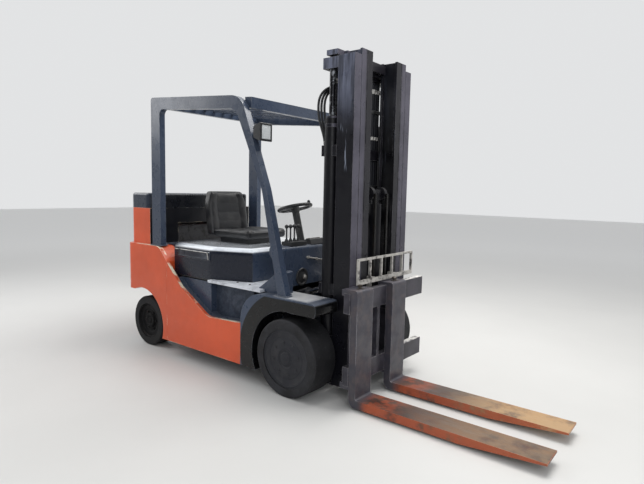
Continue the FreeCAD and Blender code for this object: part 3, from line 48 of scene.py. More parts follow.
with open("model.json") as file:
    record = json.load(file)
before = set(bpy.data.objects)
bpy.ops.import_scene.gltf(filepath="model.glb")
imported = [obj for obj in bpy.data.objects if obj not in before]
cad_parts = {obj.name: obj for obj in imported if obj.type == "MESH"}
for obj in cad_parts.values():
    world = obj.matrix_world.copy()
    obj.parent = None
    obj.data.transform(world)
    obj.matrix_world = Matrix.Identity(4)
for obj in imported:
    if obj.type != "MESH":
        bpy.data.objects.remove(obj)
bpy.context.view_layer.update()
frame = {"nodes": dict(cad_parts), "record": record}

SIDES = ((1, "left"), (-1, "right"))
FORWARD, LEFT, UP = Vector((1, 0, 0)), Vector((0, 1, 0)), Vector((0, 0, 1))

low_corner, high_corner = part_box("drive_axle")
AXLE = (low_corner + high_corner).x / 2

# Places on the truck, in metres from the drive axle, from the truck's middle and from the ground
DRIVE_RADIUS = 0.2795
STEER_RADIUS = 0.2285
STEER_X = -1.775
POST_Y = 0.5825
CYLINDER_Y = 0.3375
PIPE_Y, PIPE_STEP = 0.2, 0.034
FORK_Y = {"left": 0.045, "right": -0.405}

# A hexagon over its corners for 1 over its flats, half a sewn line's width, how far padding may swell, the
# width of its cells, and the colour of dust
HEX_CORNERS = 1.155
STITCH = 0.0035
PAD_CAP = 0.012
PAD_VOXEL = 0.006
DUST = (0.3, 0.29, 0.27, 1.0)


def at(x, y, z):
    """A point given from the drive axle, from the truck's middle and from the ground."""
    return Vector((AXLE + x, y, z))


# Making and finishing pieces

def clear():
    """Leaves edit mode and selects nothing."""
    if bpy.context.object is not None and bpy.context.object.mode != "OBJECT":
        bpy.ops.object.mode_set(mode="OBJECT")
    bpy.ops.object.select_all(action="DESELECT")


def take(piece):
    """Selects one piece and makes it the active one."""
    clear()
    piece.select_set(True)
    bpy.context.view_layer.objects.active = piece
    return piece


def modify(piece, kind, **settings):
    """Adds a modifier with its settings and applies it."""
    take(piece)
    modifier = piece.modifiers.new(kind.lower(), kind)
    for key, value in settings.items():
        setattr(modifier, key, value)
    bpy.ops.object.modifier_apply(modifier=modifier.name)
    return piece


def settled(piece, edge, segments=2):
    """Fixes a new piece's place and turn, and rounds its sharp edges where an edge width is given."""
    bpy.ops.object.transform_apply(location=True, rotation=True, scale=True)
    if not edge:
        return piece
    return modify(piece, "BEVEL", width=edge, segments=segments, limit_method="ANGLE", angle_limit=0.6)


def block(low, high, edge, segments=2):
    """A plate or block between two corners, with eased edges."""
    clear()
    low, high = Vector(low), Vector(high)
    bpy.ops.mesh.primitive_cube_add(size=1, location=(low + high) / 2)
    bpy.context.object.scale = high - low
    return settled(bpy.context.object, edge, segments)


def bar(start, end, radius, sides=20, edge=0.0):
    """A round bar between two points."""
    clear()
    start, end = Vector(start), Vector(end)
    along = end - start
    bpy.ops.mesh.primitive_cylinder_add(vertices=sides, radius=radius, depth=along.length,
                                        location=(start + end) / 2)
    piece = bpy.context.object
    piece.rotation_mode = "QUATERNION"
    piece.rotation_quaternion = along.to_track_quat("Z", "Y")
    return settled(piece, edge)


def worked(piece, way, steps):
    """Works the outermost faces that look one way: each step is an inset, a push, or a slope of both."""
    take(piece)
    bpy.ops.object.mode_set(mode="EDIT")
    bpy.ops.mesh.select_mode(type="FACE")
    bpy.ops.mesh.select_all(action="DESELECT")
    mesh = bmesh.from_edit_mesh(piece.data)
    faces = [face for face in mesh.faces if face.normal.dot(way) > 0.999]
    outermost = max(face.calc_center_median().dot(way) for face in faces) - 1e-5
    for face in faces:
        face.select_set(face.calc_center_median().dot(way) > outermost)
    mesh.select_flush_mode()
    bmesh.update_edit_mesh(piece.data)
    for inset, push in steps:
        if inset:
            bpy.ops.mesh.inset(thickness=inset, depth=push)
        else:
            bpy.ops.mesh.extrude_region_move(TRANSFORM_OT_translate={"value": way * push})
    bpy.ops.object.mode_set(mode="OBJECT")
    return piece


def turned(start, along, radius, depth, steps=(), back=(), sides=48):
    """A disc worked on its front and its back, as on a lathe."""
    start, along = Vector(start), Vector(along).normalized()
    piece = bar(start, start + along * depth, radius, sides)
    for way, cuts in ((along, steps), (-along, back)):
        if cuts:
            worked(piece, way, cuts)
    return piece


def ring(centre, along, radius, number, start=0.0):
    """Points on a circle about an axis."""
    along = Vector(along).normalized()
    side = along.orthogonal().normalized()
    over = along.cross(side)
    return [Vector(centre) + side * radius * math.cos(start + turn) + over * radius * math.sin(start + turn)
            for turn in [2 * math.pi * count / number for count in range(number)]]


def bolts(places, along, across, height):
    """Hexagon heads on washers, one at each place."""
    head = turned(Vector(), along, across / 2 * HEX_CORNERS, height, [(across * 0.1, height * 0.12)],
                  sides=6)
    washer = turned(Vector(), along, across * 0.78, height * 0.25, [(across * 0.04, height * 0.05)], sides=20)
    pattern = joined([head, washer])
    made = []
    for place in places:
        take(pattern)
        bpy.ops.object.duplicate()
        bpy.context.object.data.transform(Matrix.Translation(Vector(place)))
        made.append(bpy.context.object)
    bpy.data.objects.remove(pattern)
    return made


def cord(points, radius, closed=True):
    """A smooth round cord or hose through points."""
    clear()
    line = bpy.data.curves.new("cord", "CURVE")
    line.dimensions = "3D"
    spline = line.splines.new("NURBS")
    spline.points.add(len(points) - 1)
    for spot, point in zip(spline.points, points):
        spot.co = (*point, 1.0)
    spline.order_u = 4
    spline.use_cyclic_u = closed
    spline.use_endpoint_u = not closed
    line.bevel_depth = radius
    line.bevel_resolution = 3
    line.resolution_u = 4
    piece = bpy.data.objects.new("cord", line)
    bpy.context.scene.collection.objects.link(piece)
    take(piece)
    bpy.ops.object.convert(target="MESH")
    return bpy.context.object


def joined(pieces):
    """One piece made of several."""
    clear()
    for piece in pieces:
        piece.select_set(True)
    bpy.context.view_layer.objects.active = pieces[0]
    if len(pieces) > 1:
        bpy.ops.object.join()
    return pieces[0]


def fitted(pieces, name, body, finish, smooth=30, slot=None):
    """Joins and names finished pieces, gives them their finish and fixes them to a body of the truck."""
    piece = joined(pieces) if isinstance(pieces, list) else pieces
    take(piece)
    bpy.ops.object.transform_apply(location=True, rotation=True, scale=True)
    bpy.ops.object.shade_smooth_by_angle(angle=math.radians(smooth))
    piece.name = name
    piece.data.name = name
    piece.data.materials.clear()
    piece.data.materials.append(FINISHES[finish])
    slot = slot or finish
    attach(piece, body)
    return piece


# Finishes

FINISHES = {}
NODE_FINISHES = {
    "counterweight_cap": "cap_paint", "hood": "hood_paint", "fender_left": "fender_paint",
    "fender_right": "fender_paint", "frame": "frame_paint", "carriage_chains": "leaf_chain",
    "lift_rods": "greasy_rod", "carriage": "carriage_paint", "load_backrest": "bright_bars",
    "lift_cylinders": "cylinder_paint", "free_lift_cylinder": "cylinder_paint",
    "free_lift_head": "cylinder_paint", "steer_left_tyre": "steer_rubber", "steer_right_tyre": "steer_rubber"}


def linear(colour):
    """A colour for a node: three numbers from 0 to 255, as seen on a screen, made linear; all else stays."""
    if not isinstance(colour, tuple) or len(colour) != 3:
        return colour
    parts = [value / 255 for value in colour]
    parts = [part / 12.92 if part <= 0.04045 else ((part + 0.055) / 1.055) ** 2.4 for part in parts]
    return tuple(parts) + (1.0,)


def shade(colour, amount):
    """The colour made darker or lighter."""
    return tuple(min(1.0, part * amount) for part in linear(colour)[:3]) + (1.0,)


class Nodes:
    """The nodes of a material or a world, with short calls that add them."""

    def __init__(self, owner):
        owner.use_nodes = True
        self.tree = owner.node_tree
        self.nodes = self.tree.nodes

    def link(self, source, target):
        """Joins an output to an input, or sets the input's value."""
        if isinstance(source, bpy.types.NodeSocket):
            self.tree.links.new(source, target)
        else:
            target.default_value = source

    def add(self, kind, inputs, output=0, **settings):
        """Adds a node with its settings, joins or sets its inputs, and gives one of its outputs."""
        node = self.nodes.new("ShaderNode" + kind)
        for key, value in settings.items():
            setattr(node, key, value)
        for key, source in inputs.items():
            self.link(source, node.inputs[key])
        return node.outputs[output]

    def step(self, value, low, high, bottom=0.0, top=1.0, curve="SMOOTHSTEP"):
        """A soft step that rises from bottom to top between two values."""
        return self.add("MapRange", {"Value": value, "From Min": low, "From Max": high, "To Min": bottom,
                                     "To Max": top}, "Result", interpolation_type=curve)

    def math(self, kind, one, two=0.0):
        """Arithmetic on one or two values."""
        return self.add("Math", {0: one, 1: two}, operation=kind)

    def times(self, first, *others):
        """The product of several values: 1 only where all of them are 1."""
        for other in others:
            first = self.math("MULTIPLY", first, other)
        return first

    def vector(self, kind, one, two):
        """A number made of one or two vectors."""
        return self.add("VectorMath", {0: one, 1: two}, "Value", operation=kind)


class Finish(Nodes):
    """One node material, filed under its name."""

    def __init__(self, name, metallic=0.0, roughness=0.5, coat=0.0, specular=0.5):
        FINISHES[name] = bpy.data.materials.new(name)
        super().__init__(FINISHES[name])
        self.inputs = self.nodes["Principled BSDF"].inputs
        for key, value in (("Metallic", metallic), ("Roughness", roughness), ("Coat Weight", coat),
                           ("Coat Roughness", 0.12), ("Specular IOR Level", specular)):
            self.inputs[key].default_value = value
        self.place = self.add("TexCoord", {}, "Object")

    def stretched(self, scale):
        """Object coordinates, scaled along each axis."""
        return self.add("Mapping", {"Vector": self.place, "Scale": scale})

    def noise(self, scale, detail=4.0, rough=0.55, stretch=None):
        """Cloudy noise, with its scale in spots a metre."""
        place = self.stretched(stretch) if stretch else self.place
        return self.add("TexNoise", {"Vector": place, "Scale": scale, "Detail": detail, "Roughness": rough},
                        "Fac")

    def cloud(self, scale, detail, low, high, bottom=0.0, top=1.0, rough=0.55, stretch=None):
        """A soft step over cloudy noise."""
        return self.step(self.noise(scale, detail, rough, stretch), low, high, bottom, top)

    def mix(self, share, one, two):
        """A blend of two colours."""
        return self.add("Mix", {"Factor": share, "A": linear(one), "B": linear(two)}, 2, data_type="RGBA")

    def over(self, base, colour, *shares):
        """A colour laid over another, by the product of its shares."""
        return self.mix(self.times(*shares), base, colour)

    def edges(self, radius):
        """1 on outer edges and in corners, within a radius of them."""
        soft = self.add("Bevel", {"Radius": radius}, "Normal", samples=4)
        flat = self.add("NewGeometry", {}, "True Normal")
        return self.step(self.vector("DOT_PRODUCT", soft, flat), 0.88, 1.0, 1.0, 0.0)

    def facing(self, axis, low=0.5, high=1.0, either=False):
        """1 where the surface faces along an axis, or either way along it."""
        amount = self.add("SeparateXYZ", {0: self.add("NewGeometry", {}, "Normal")}, axis)
        return self.step(self.math("ABSOLUTE", amount) if either else amount, low, high)

    def where(self, axis):
        """The place along one axis, in metres."""
        return self.add("SeparateXYZ", {0: self.place}, axis)

    def above(self, axis, low, high, bottom=0.0, top=1.0):
        """A soft step over the place along one axis."""
        return self.step(self.where(axis), low, high, bottom, top)

    def aside(self, low, high, bottom=0.0, top=1.0):
        """A soft step over the distance from the truck's middle."""
        return self.step(self.math("ABSOLUTE", self.where("Y")), low, high, bottom, top)

    def zone(self, axis, low, high, soft):
        """1 between two places along an axis."""
        return self.times(self.above(axis, low - soft, low + soft),
                          self.above(axis, high - soft, high + soft, 1.0, 0.0))

    def sheen(self, source):
        """Sets the surface's roughness."""
        self.link(source, self.inputs["Roughness"])

    def colour(self, source):
        """Sets the surface's colour."""
        self.link(source, self.inputs["Base Color"])

    def bump(self, height, strength, distance):
        """Fine relief."""
        relief = self.add("Bump", {"Strength": strength, "Distance": distance, "Height": height}, "Normal")
        self.link(relief, self.inputs["Normal"])


def paint(name, colour, under, roughness=0.3, coat=0.05, worn=0.5, dust=0.2, tone=None, wear=(0.005, 8.0),
          shine=None, specular=0.25):
    """Sprayed paint: faded in patches, chipped and rubbed through on its edges, dusty where it faces up. The
    wear is how far in from an edge it is rubbed, and its spots a metre. The tone changes the colour by place,
    under the wear. The shine is 1 where the paint is clean and polished."""
    made = Finish(name, roughness=roughness, coat=coat, specular=specular)
    base = made.mix(made.cloud(2.3, 5.0, 0.35, 0.7), shade(colour, 0.9), shade(colour, 1.08))
    streaks = made.cloud(7.0, 4.0, 0.45, 0.8, rough=0.6, stretch=(1.0, 1.0, 0.18))
    base = made.over(base, shade(colour, 0.68), streaks, 0.28)
    if tone:
        base = tone(made, base)
    rubbed = made.times(made.edges(wear[0]), made.cloud(wear[1], 5.0, 0.42, 0.62, rough=0.7))
    chips = made.times(made.cloud(95.0, 3.0, 0.7, 0.76, rough=0.65), made.cloud(4.0, 3.0, 0.5, 0.66))
    bare = made.math("MINIMUM", made.math("MAXIMUM", rubbed, chips), worn)
    base = made.mix(bare, base, under)
    film = made.times(made.facing("Z", 0.4, 0.95), made.cloud(9.0, 6.0, 0.3, 0.75, 0.2, rough=0.65), dust)
    gloss = []
    if shine:
        polished = shine(made)
        film = made.times(film, made.step(polished, 0.0, 1.0, 1.0, 0.0))
        gloss = [made.step(polished, 0.0, 1.0, 1.0, 0.3)]
        made.link(made.step(polished, 0.0, 1.0, coat, 1.0), made.inputs["Coat Weight"])
        made.inputs["Coat Roughness"].default_value = 0.05
        made.inputs["Coat IOR"].default_value = 1.9
    made.colour(made.mix(film, base, DUST))
    rough = made.math("ADD", made.cloud(14.0, 5.0, 0.3, 0.75, roughness - 0.08, roughness + 0.12),
                      made.times(made.math("ADD", bare, film), 0.35))
    made.sheen(made.times(rough, *gloss))
    made.bump(made.math("SUBTRACT", made.times(made.noise(420.0, 2.0), 0.25), bare), 0.25, 0.0006)


def rubber(name, colour, dust=0.5):
    """Solid tyre rubber, scuffed and grey with floor dust."""
    made = Finish(name, roughness=0.72, specular=0.35)
    dusty = made.cloud(6.0, 6.0, 0.35, 0.7, rough=0.7)
    side = made.facing("Y", 0.3, 0.8, either=True)
    base = made.over(colour, (74, 75, 80), dusty, made.step(side, 0.0, 1.0, 0.1, dust))
    scuffs = made.cloud(60.0, 4.0, 0.58, 0.7, rough=0.7)
    made.colour(made.over(base, (92, 92, 94), scuffs, 0.25))
    made.sheen(made.step(dusty, 0.0, 1.0, 0.62, 0.85))
    made.bump(made.math("ADD", made.noise(260.0, 3.0, 0.6), scuffs), 0.35, 0.0008)


def steel(name, colour, other, roughness, metallic, cover=0.5, relief=0.0005):
    """Bare steel with stains or rust of another colour."""
    made = Finish(name, metallic=metallic, roughness=roughness)
    stain = made.cloud(16.0, 7.0, 0.62 - cover * 0.3, 0.72 - cover * 0.1, rough=0.68)
    made.colour(made.mix(stain, colour, other))
    made.sheen(made.math("ADD", made.times(stain, 0.3),
                         made.cloud(45.0, 3.0, 0.3, 0.7, roughness - 0.08, roughness + 0.1)))
    made.bump(made.math("ADD", made.noise(300.0, 3.0, 0.6), stain), 0.25, relief)


def plastic(name, colour, roughness, grain):
    """Moulded plastic or vinyl with a fine grain."""
    made = Finish(name, roughness=roughness, specular=0.45)
    dusty = made.cloud(8.0, 5.0, 0.4, 0.75, rough=0.6)
    made.colour(made.over(colour, (88, 87, 85), dusty, 0.25))
    made.sheen(made.step(dusty, 0.0, 1.0, roughness - 0.06, roughness + 0.14))
    made.bump(made.add("TexVoronoi", {"Vector": made.place, "Scale": grain}, "Distance"), 0.3, 0.0004)


def fork_finish(name):
    """Grey-violet shanks, and rusty brown blades with old orange paint on their sides and tan tips."""
    made = Finish(name)
    rust = made.cloud(9.0, 8.0, 0.34, 0.66, rough=0.7, stretch=(0.45, 1.0, 1.0))
    rubbed = made.cloud(22.0, 6.0, 0.5, 0.62, rough=0.75, stretch=(0.25, 1.6, 1.0))
    blade = made.over(made.mix(rust, (46, 37, 34), (88, 56, 41)), (82, 69, 64), rubbed, 0.6)
    heel = made.times(made.zone("X", AXLE + 0.46, AXLE + 0.78, 0.09),
                      made.cloud(10.0, 6.0, 0.4, 0.56, rough=0.7))
    blade = made.over(blade, (150, 70, 40), heel, 0.7)
    tip = made.times(made.above("X", AXLE + 0.75, AXLE + 1.45), made.cloud(7.0, 6.0, 0.25, 0.55, rough=0.6))
    left = made.above("Y", -0.28, -0.14)
    blade = made.over(blade, (186, 150, 106), tip, made.step(left, 0.0, 1.0, 0.3, 0.85))
    flank = made.times(made.facing("Y", 0.4, 0.8, either=True), made.cloud(8.0, 5.0, 0.32, 0.52, rough=0.65))
    edge = made.times(made.edges(0.008), made.cloud(9.0, 4.0, 0.35, 0.55))
    orange = made.times(made.math("MAXIMUM", flank, edge), made.above("X", AXLE + 0.5, AXLE + 0.62))
    blade = made.over(blade, (170, 78, 42), orange, 0.85)
    shank = made.mix(made.cloud(12.0, 6.0, 0.42, 0.7, rough=0.65), (62, 61, 70), (80, 73, 76))
    shank = made.over(shank, (176, 176, 182), made.edges(0.006), made.cloud(5.0, 4.0, 0.42, 0.55), 0.6)
    made.colour(made.mix(made.above("X", AXLE + 0.5, AXLE + 0.6), shank, blade))
    made.sheen(made.step(rust, 0.0, 1.0, 0.36, 0.58))
    made.bump(made.math("ADD", rust, made.noise(180.0, 4.0, 0.65)), 0.3, 0.0009)


def tread_finish(name):
    """Floor plate with raised lugs, worn bright and dirty in patches."""
    made = Finish(name, metallic=0.2, roughness=0.4)
    dirt = made.cloud(7.0, 6.0, 0.48, 0.78, rough=0.65)
    made.colour(made.mix(dirt, (222, 226, 234), (120, 124, 132)))
    made.sheen(made.step(dirt, 0.0, 1.0, 0.34, 0.6))
    lugs = made.add("TexBrick", {"Vector": made.place, "Scale": 22.0}, "Fac")
    made.bump(made.step(lugs, 0.2, 0.8), 0.35, 0.0012)


def chain_finish(name):
    """A leaf chain: rows of oily side plates along its run."""
    made = Finish(name, metallic=0.7, roughness=0.45)
    upright = made.add("Mapping", {"Vector": made.place, "Rotation": (math.radians(90), math.radians(90), 0)})
    links = made.add("TexBrick", {"Vector": upright, "Scale": 18.0, "Mortar Size": 0.05, "Row Height": 0.12},
                     "Fac")
    oil = made.cloud(20.0, 5.0, 0.4, 0.7)
    base = made.mix(oil, (40, 38, 38), (74, 66, 60))
    made.colour(made.mix(made.step(links, 0.3, 0.7), base, (12, 12, 13)))
    made.sheen(made.step(oil, 0.0, 1.0, 0.3, 0.6))
    made.bump(made.step(links, 0.2, 0.8, 1.0, 0.0), 0.5, 0.002)


def weight_tone(made, base):
    """Painted shade: black on the counterweight's front above the deck, where it lies in shadow; cream where
    the sweep's upper edge is rubbed.
    """
    # painted shade: the front faces above the deck are made near black for the shadow on them
    base = made.over(base, (20, 21, 26), made.facing("X"), made.above("Z", 0.93, 0.95))
    rubbed = made.times(made.facing("Z", 0.25, 0.5), made.cloud(5.0, 5.0, 0.44, 0.54))
    return made.over(base, (228, 218, 196), rubbed, made.aside(0.6, 0.606))


def cap_tone(made, base):
    """Painted shade: darker on the front of the counterweight's cap, which lies in shadow."""
    # painted shade: the front faces are made near black
    return made.over(base, (20, 22, 27), made.facing("X"))


def fender_tone(made, base):
    """Painted shade: a black band about the wheel arch and over the front end below the top, for the shade
    there; and a painted highlight, white, on the glossy patch of the top.
    """
    from_hub = made.vector("DISTANCE", made.stretched((1.0, 0.0, 1.0)), (AXLE, 0.0, DRIVE_RADIUS))
    # painted shade: a black band about the wheel arch and the front end below the top, for the shade there
    rim = made.step(from_hub, 0.462, 0.47, 1.0, 0.0)
    low = made.above("Z", 0.69, 0.7, 1.0, 0.0)
    front = made.times(made.above("X", AXLE + 0.1, AXLE + 0.14), low)
    base = made.over(base, (12, 12, 14), made.math("MAXIMUM", rim, front), low)
    # painted highlight: white over the glossy patch on the top
    return made.over(base, (250, 251, 254), fender_highlight_and_gloss(made), 0.9)


def fender_highlight_and_gloss(made):
    """The glossy patch on the fender's top, beside the mast, where a white highlight is painted."""
    return made.times(made.zone("X", AXLE - 0.14, AXLE + 0.17, 0.025), made.aside(0.6, 0.64, 1.0, 0.0),
                      made.facing("Z", 0.8, 0.95))


def hood_tone(made, base):
    """Painted shade on the sides, and a pale painted reflection on the top."""
    # painted shade: the sides are made darker than the top
    base = made.over(base, (30, 34, 46), made.facing("Y", 0.5, 0.9, either=True))
    # painted reflection: pale bluish white in broad patches on the top, except at its rear end
    painted_top_reflection = made.times(made.cloud(2.2, 4.0, 0.3, 0.46, 0.35), made.above("X", AXLE - 1.44, AXLE - 1.22))
    return made.over(base, (236, 242, 250), painted_top_reflection, made.facing("Z", 0.35, 0.6), 0.92)


def top_shine(made):
    """Polished wherever it faces up."""
    return made.times(made.facing("Z", 0.6, 0.9), made.cloud(2.6, 4.0, 0.3, 0.45, 0.5))


def mast_tone(made, base):
    """Painted light and shade: front faces painted lighter grey-violet as lit, a pale streaked band of
    painted highlight high on the sides, pale marks lower on the sides, and black for the shade well inside
    the mast.
    """
    # painted light: the front faces are made lighter than the sides, as lit
    front = made.mix(made.cloud(4.0, 6.0, 0.35, 0.65, rough=0.6), (66, 64, 75), (82, 80, 92))
    base = made.mix(made.facing("X", 0.4, 0.8), base, front)
    sides = made.facing("Y", 0.5, 0.9, either=True)
    # painted highlight: a pale streaked band high on the sides
    streaks = made.cloud(20.0, 4.0, 0.46, 0.64, 0.35, rough=0.6, stretch=(1.2, 1.0, 0.1))
    base = made.over(base, (112, 117, 136), sides, made.above("Z", 1.82, 2.25), streaks, 0.85)
    marks = made.cloud(34.0, 3.0, 0.6, 0.68, rough=0.6, stretch=(1.6, 1.0, 0.1))
    base = made.over(base, (150, 158, 176), made.zone("Z", 1.62, 1.92, 0.04), marks, sides, 0.7)
    # painted shade: near black well inside the mast, between the rails
    return made.over(base, (9, 9, 12), made.aside(0.225, 0.255, 1.0, 0.0), 0.85)


def carriage_tone(made, base):
    """Grey-violet, with the top of the upper bar pale at its far end."""
    base = made.mix(made.cloud(7.0, 6.0, 0.35, 0.65, rough=0.6), (48, 47, 54), (74, 72, 80))
    end = made.times(made.above("Y", 0.1, 0.3), made.facing("Z", 0.5, 0.9),
                     made.cloud(14.0, 5.0, 0.36, 0.5))
    return made.over(base, (220, 218, 214), end, 0.9)


def frame_tone(made, base):
    """Slate, mottled, on the step's wall between the tanks and the fenders."""
    wall = made.times(made.facing("Y", 0.5, 0.9, either=True), made.above("Z", 0.4, 0.43))
    mottled = made.mix(made.cloud(16.0, 6.0, 0.4, 0.65, rough=0.7), (50, 58, 72), (72, 80, 94))
    return made.mix(wall, base, mottled)


# Settings of the add-on

def colour_setting(name, description, colour):
    """A colour in the panel, given as it is seen on a screen."""
    return bpy.props.FloatVectorProperty(name=name, description=description, subtype="COLOR",
                                         default=linear(colour)[:3], min=0, max=1)


def angle_setting(name, description, degrees):
    """An angle in the panel."""
    return bpy.props.FloatProperty(name=name, description=description, subtype="ANGLE",
                                   default=math.radians(degrees))


class TruckColours(bpy.types.PropertyGroup):
    """Colours that an owner would change."""
    body: colour_setting("Body side", "Paint of the counterweight and the side panels", (212, 84, 42))
    trim: colour_setting("Trim", "Paint of the hood, fenders, cowl and overhead guard", (58, 68, 86))
    mast: colour_setting("Mast", "Paint of the mast and the carriage", (22, 22, 28))
    wheel: colour_setting("Wheels", "Paint of the wheels", (44, 45, 50))


class StudioSettings(bpy.types.PropertyGroup):
    """The studio about the truck."""
    lens: bpy.props.FloatProperty(name="Lens", description="Focal length in millimetres on a 36 mm frame",
                                  default=28.53)
    azimuth: angle_setting("Heading", "Where the camera looks, from the truck's front", 128.456)
    pitch: angle_setting("Pitch", "How far the camera looks down", 5.81)
    roll: angle_setting("Roll", "Turn of the camera about its view", 1.174)
    position: bpy.props.FloatVectorProperty(
        name="Camera", description="Camera from the drive axle, on the ground", subtype="TRANSLATION",
        unit="LENGTH", default=(2.353, -3.218, 1.463))
    floor: bpy.props.FloatVectorProperty(name="Floor", description="Colour of the floor", subtype="COLOR",
                                         default=(0.62, 0.62, 0.61), min=0, max=1)
    ambient: bpy.props.FloatProperty(name="Ambient", description="Light from all round", default=0.55, min=0)
    key: bpy.props.FloatProperty(name="Key lamp", description="Power of the large lamp overhead",
                                 default=260.0, min=0)
    fill: bpy.props.FloatProperty(name="Fill lamp", description="Power of the lamps in front and behind",
                                  default=90.0, min=0)


class TRUCK_OT_studio(bpy.types.Operator):
    """Sets the floor, the lamps, the world and the camera"""
    bl_idname = "truck.studio"
    bl_label = "Studio"

    def execute(self, context):
        studio = context.scene.truck_studio
        clear()
        bpy.ops.mesh.primitive_grid_add(x_subdivisions=4, y_subdivisions=4, size=60, location=(0, 0, 0))
        floor = context.object
        floor.name = "studio_floor"
        ground = Finish("studio_floor", roughness=0.55, specular=0.3)
        tone = tuple(studio.floor) + (1.0,)
        near = ground.mix(ground.cloud(0.6, 4.0, 0.3, 0.7), shade(tone, 0.97), shade(tone, 1.02))
        far = ground.vector("LENGTH", ground.place, (0, 0, 0))
        ground.colour(ground.mix(ground.step(far, 2.5, 12.0), near, (0.97, 0.97, 0.965, 1.0)))
        floor.data.materials.append(FINISHES["studio_floor"])
        context.scene.world = bpy.data.worlds.new("studio_world")
        sky = Nodes(context.scene.world)
        ahead = sky.vector("DOT_PRODUCT", sky.add("TexCoord", {}, "Generated"), (-0.62, 0.78, 0.25))
        mirrored = sky.step(ahead, -0.35, 0.45, 0.1, 0.85, "LINEAR")
        seen = sky.step(sky.add("LightPath", {}, "Is Camera Ray"), 0.0, 1.0, studio.ambient, 0.82, "LINEAR")
        glossy = sky.add("LightPath", {}, "Is Glossy Ray")
        backdrop = sky.nodes["Background"].inputs
        sky.link(sky.add("Mix", {"Factor": glossy, "A": seen, "B": mirrored}), backdrop["Strength"])
        backdrop["Color"].default_value = (0.93, 0.94, 0.95, 1.0)
        for name, place, size, power, tint in (
                ("key_lamp", (0.8, 1.2, 5.0), 3.4, studio.key, (1.0, 0.98, 0.95)),
                ("fill_lamp", (4.6, -4.4, 3.2), 3.0, studio.fill, (0.95, 0.97, 1.0)),
                ("rear_lamp", (-4.5, -2.0, 3.6), 3.0, studio.fill, (1.0, 1.0, 1.0))):
            clear()
            bpy.ops.object.light_add(type="AREA", location=place)
            lamp = context.object
            lamp.name = name
            lamp.data.size = size
            lamp.data.energy = power
            lamp.data.color = tint
            aim = Vector((-0.2, 0.0, 0.8)) - Vector(place)
            lamp.rotation_euler = aim.to_track_quat("-Z", "Y").to_euler()
        clear()
        bpy.ops.object.camera_add(location=at(*studio.position))
        camera = context.object
        camera.name = "studio_camera"
        turn, dip, lean = studio.azimuth, studio.pitch, studio.roll
        ahead = Vector((math.cos(turn) * math.cos(dip), math.sin(turn) * math.cos(dip), -math.sin(dip)))
        side = Vector((math.sin(turn), -math.cos(turn), 0.0))
        over = side.cross(ahead)
        right = side * math.cos(lean) + over * math.sin(lean)
        up = over * math.cos(lean) - side * math.sin(lean)
        camera.rotation_euler = Matrix((right, up, -ahead)).transposed().to_euler()
        camera.data.lens = studio.lens
        camera.data.sensor_width = 36.0
        context.scene.camera = camera
        context.scene.view_settings.view_transform = "Standard"
        return {"FINISHED"}


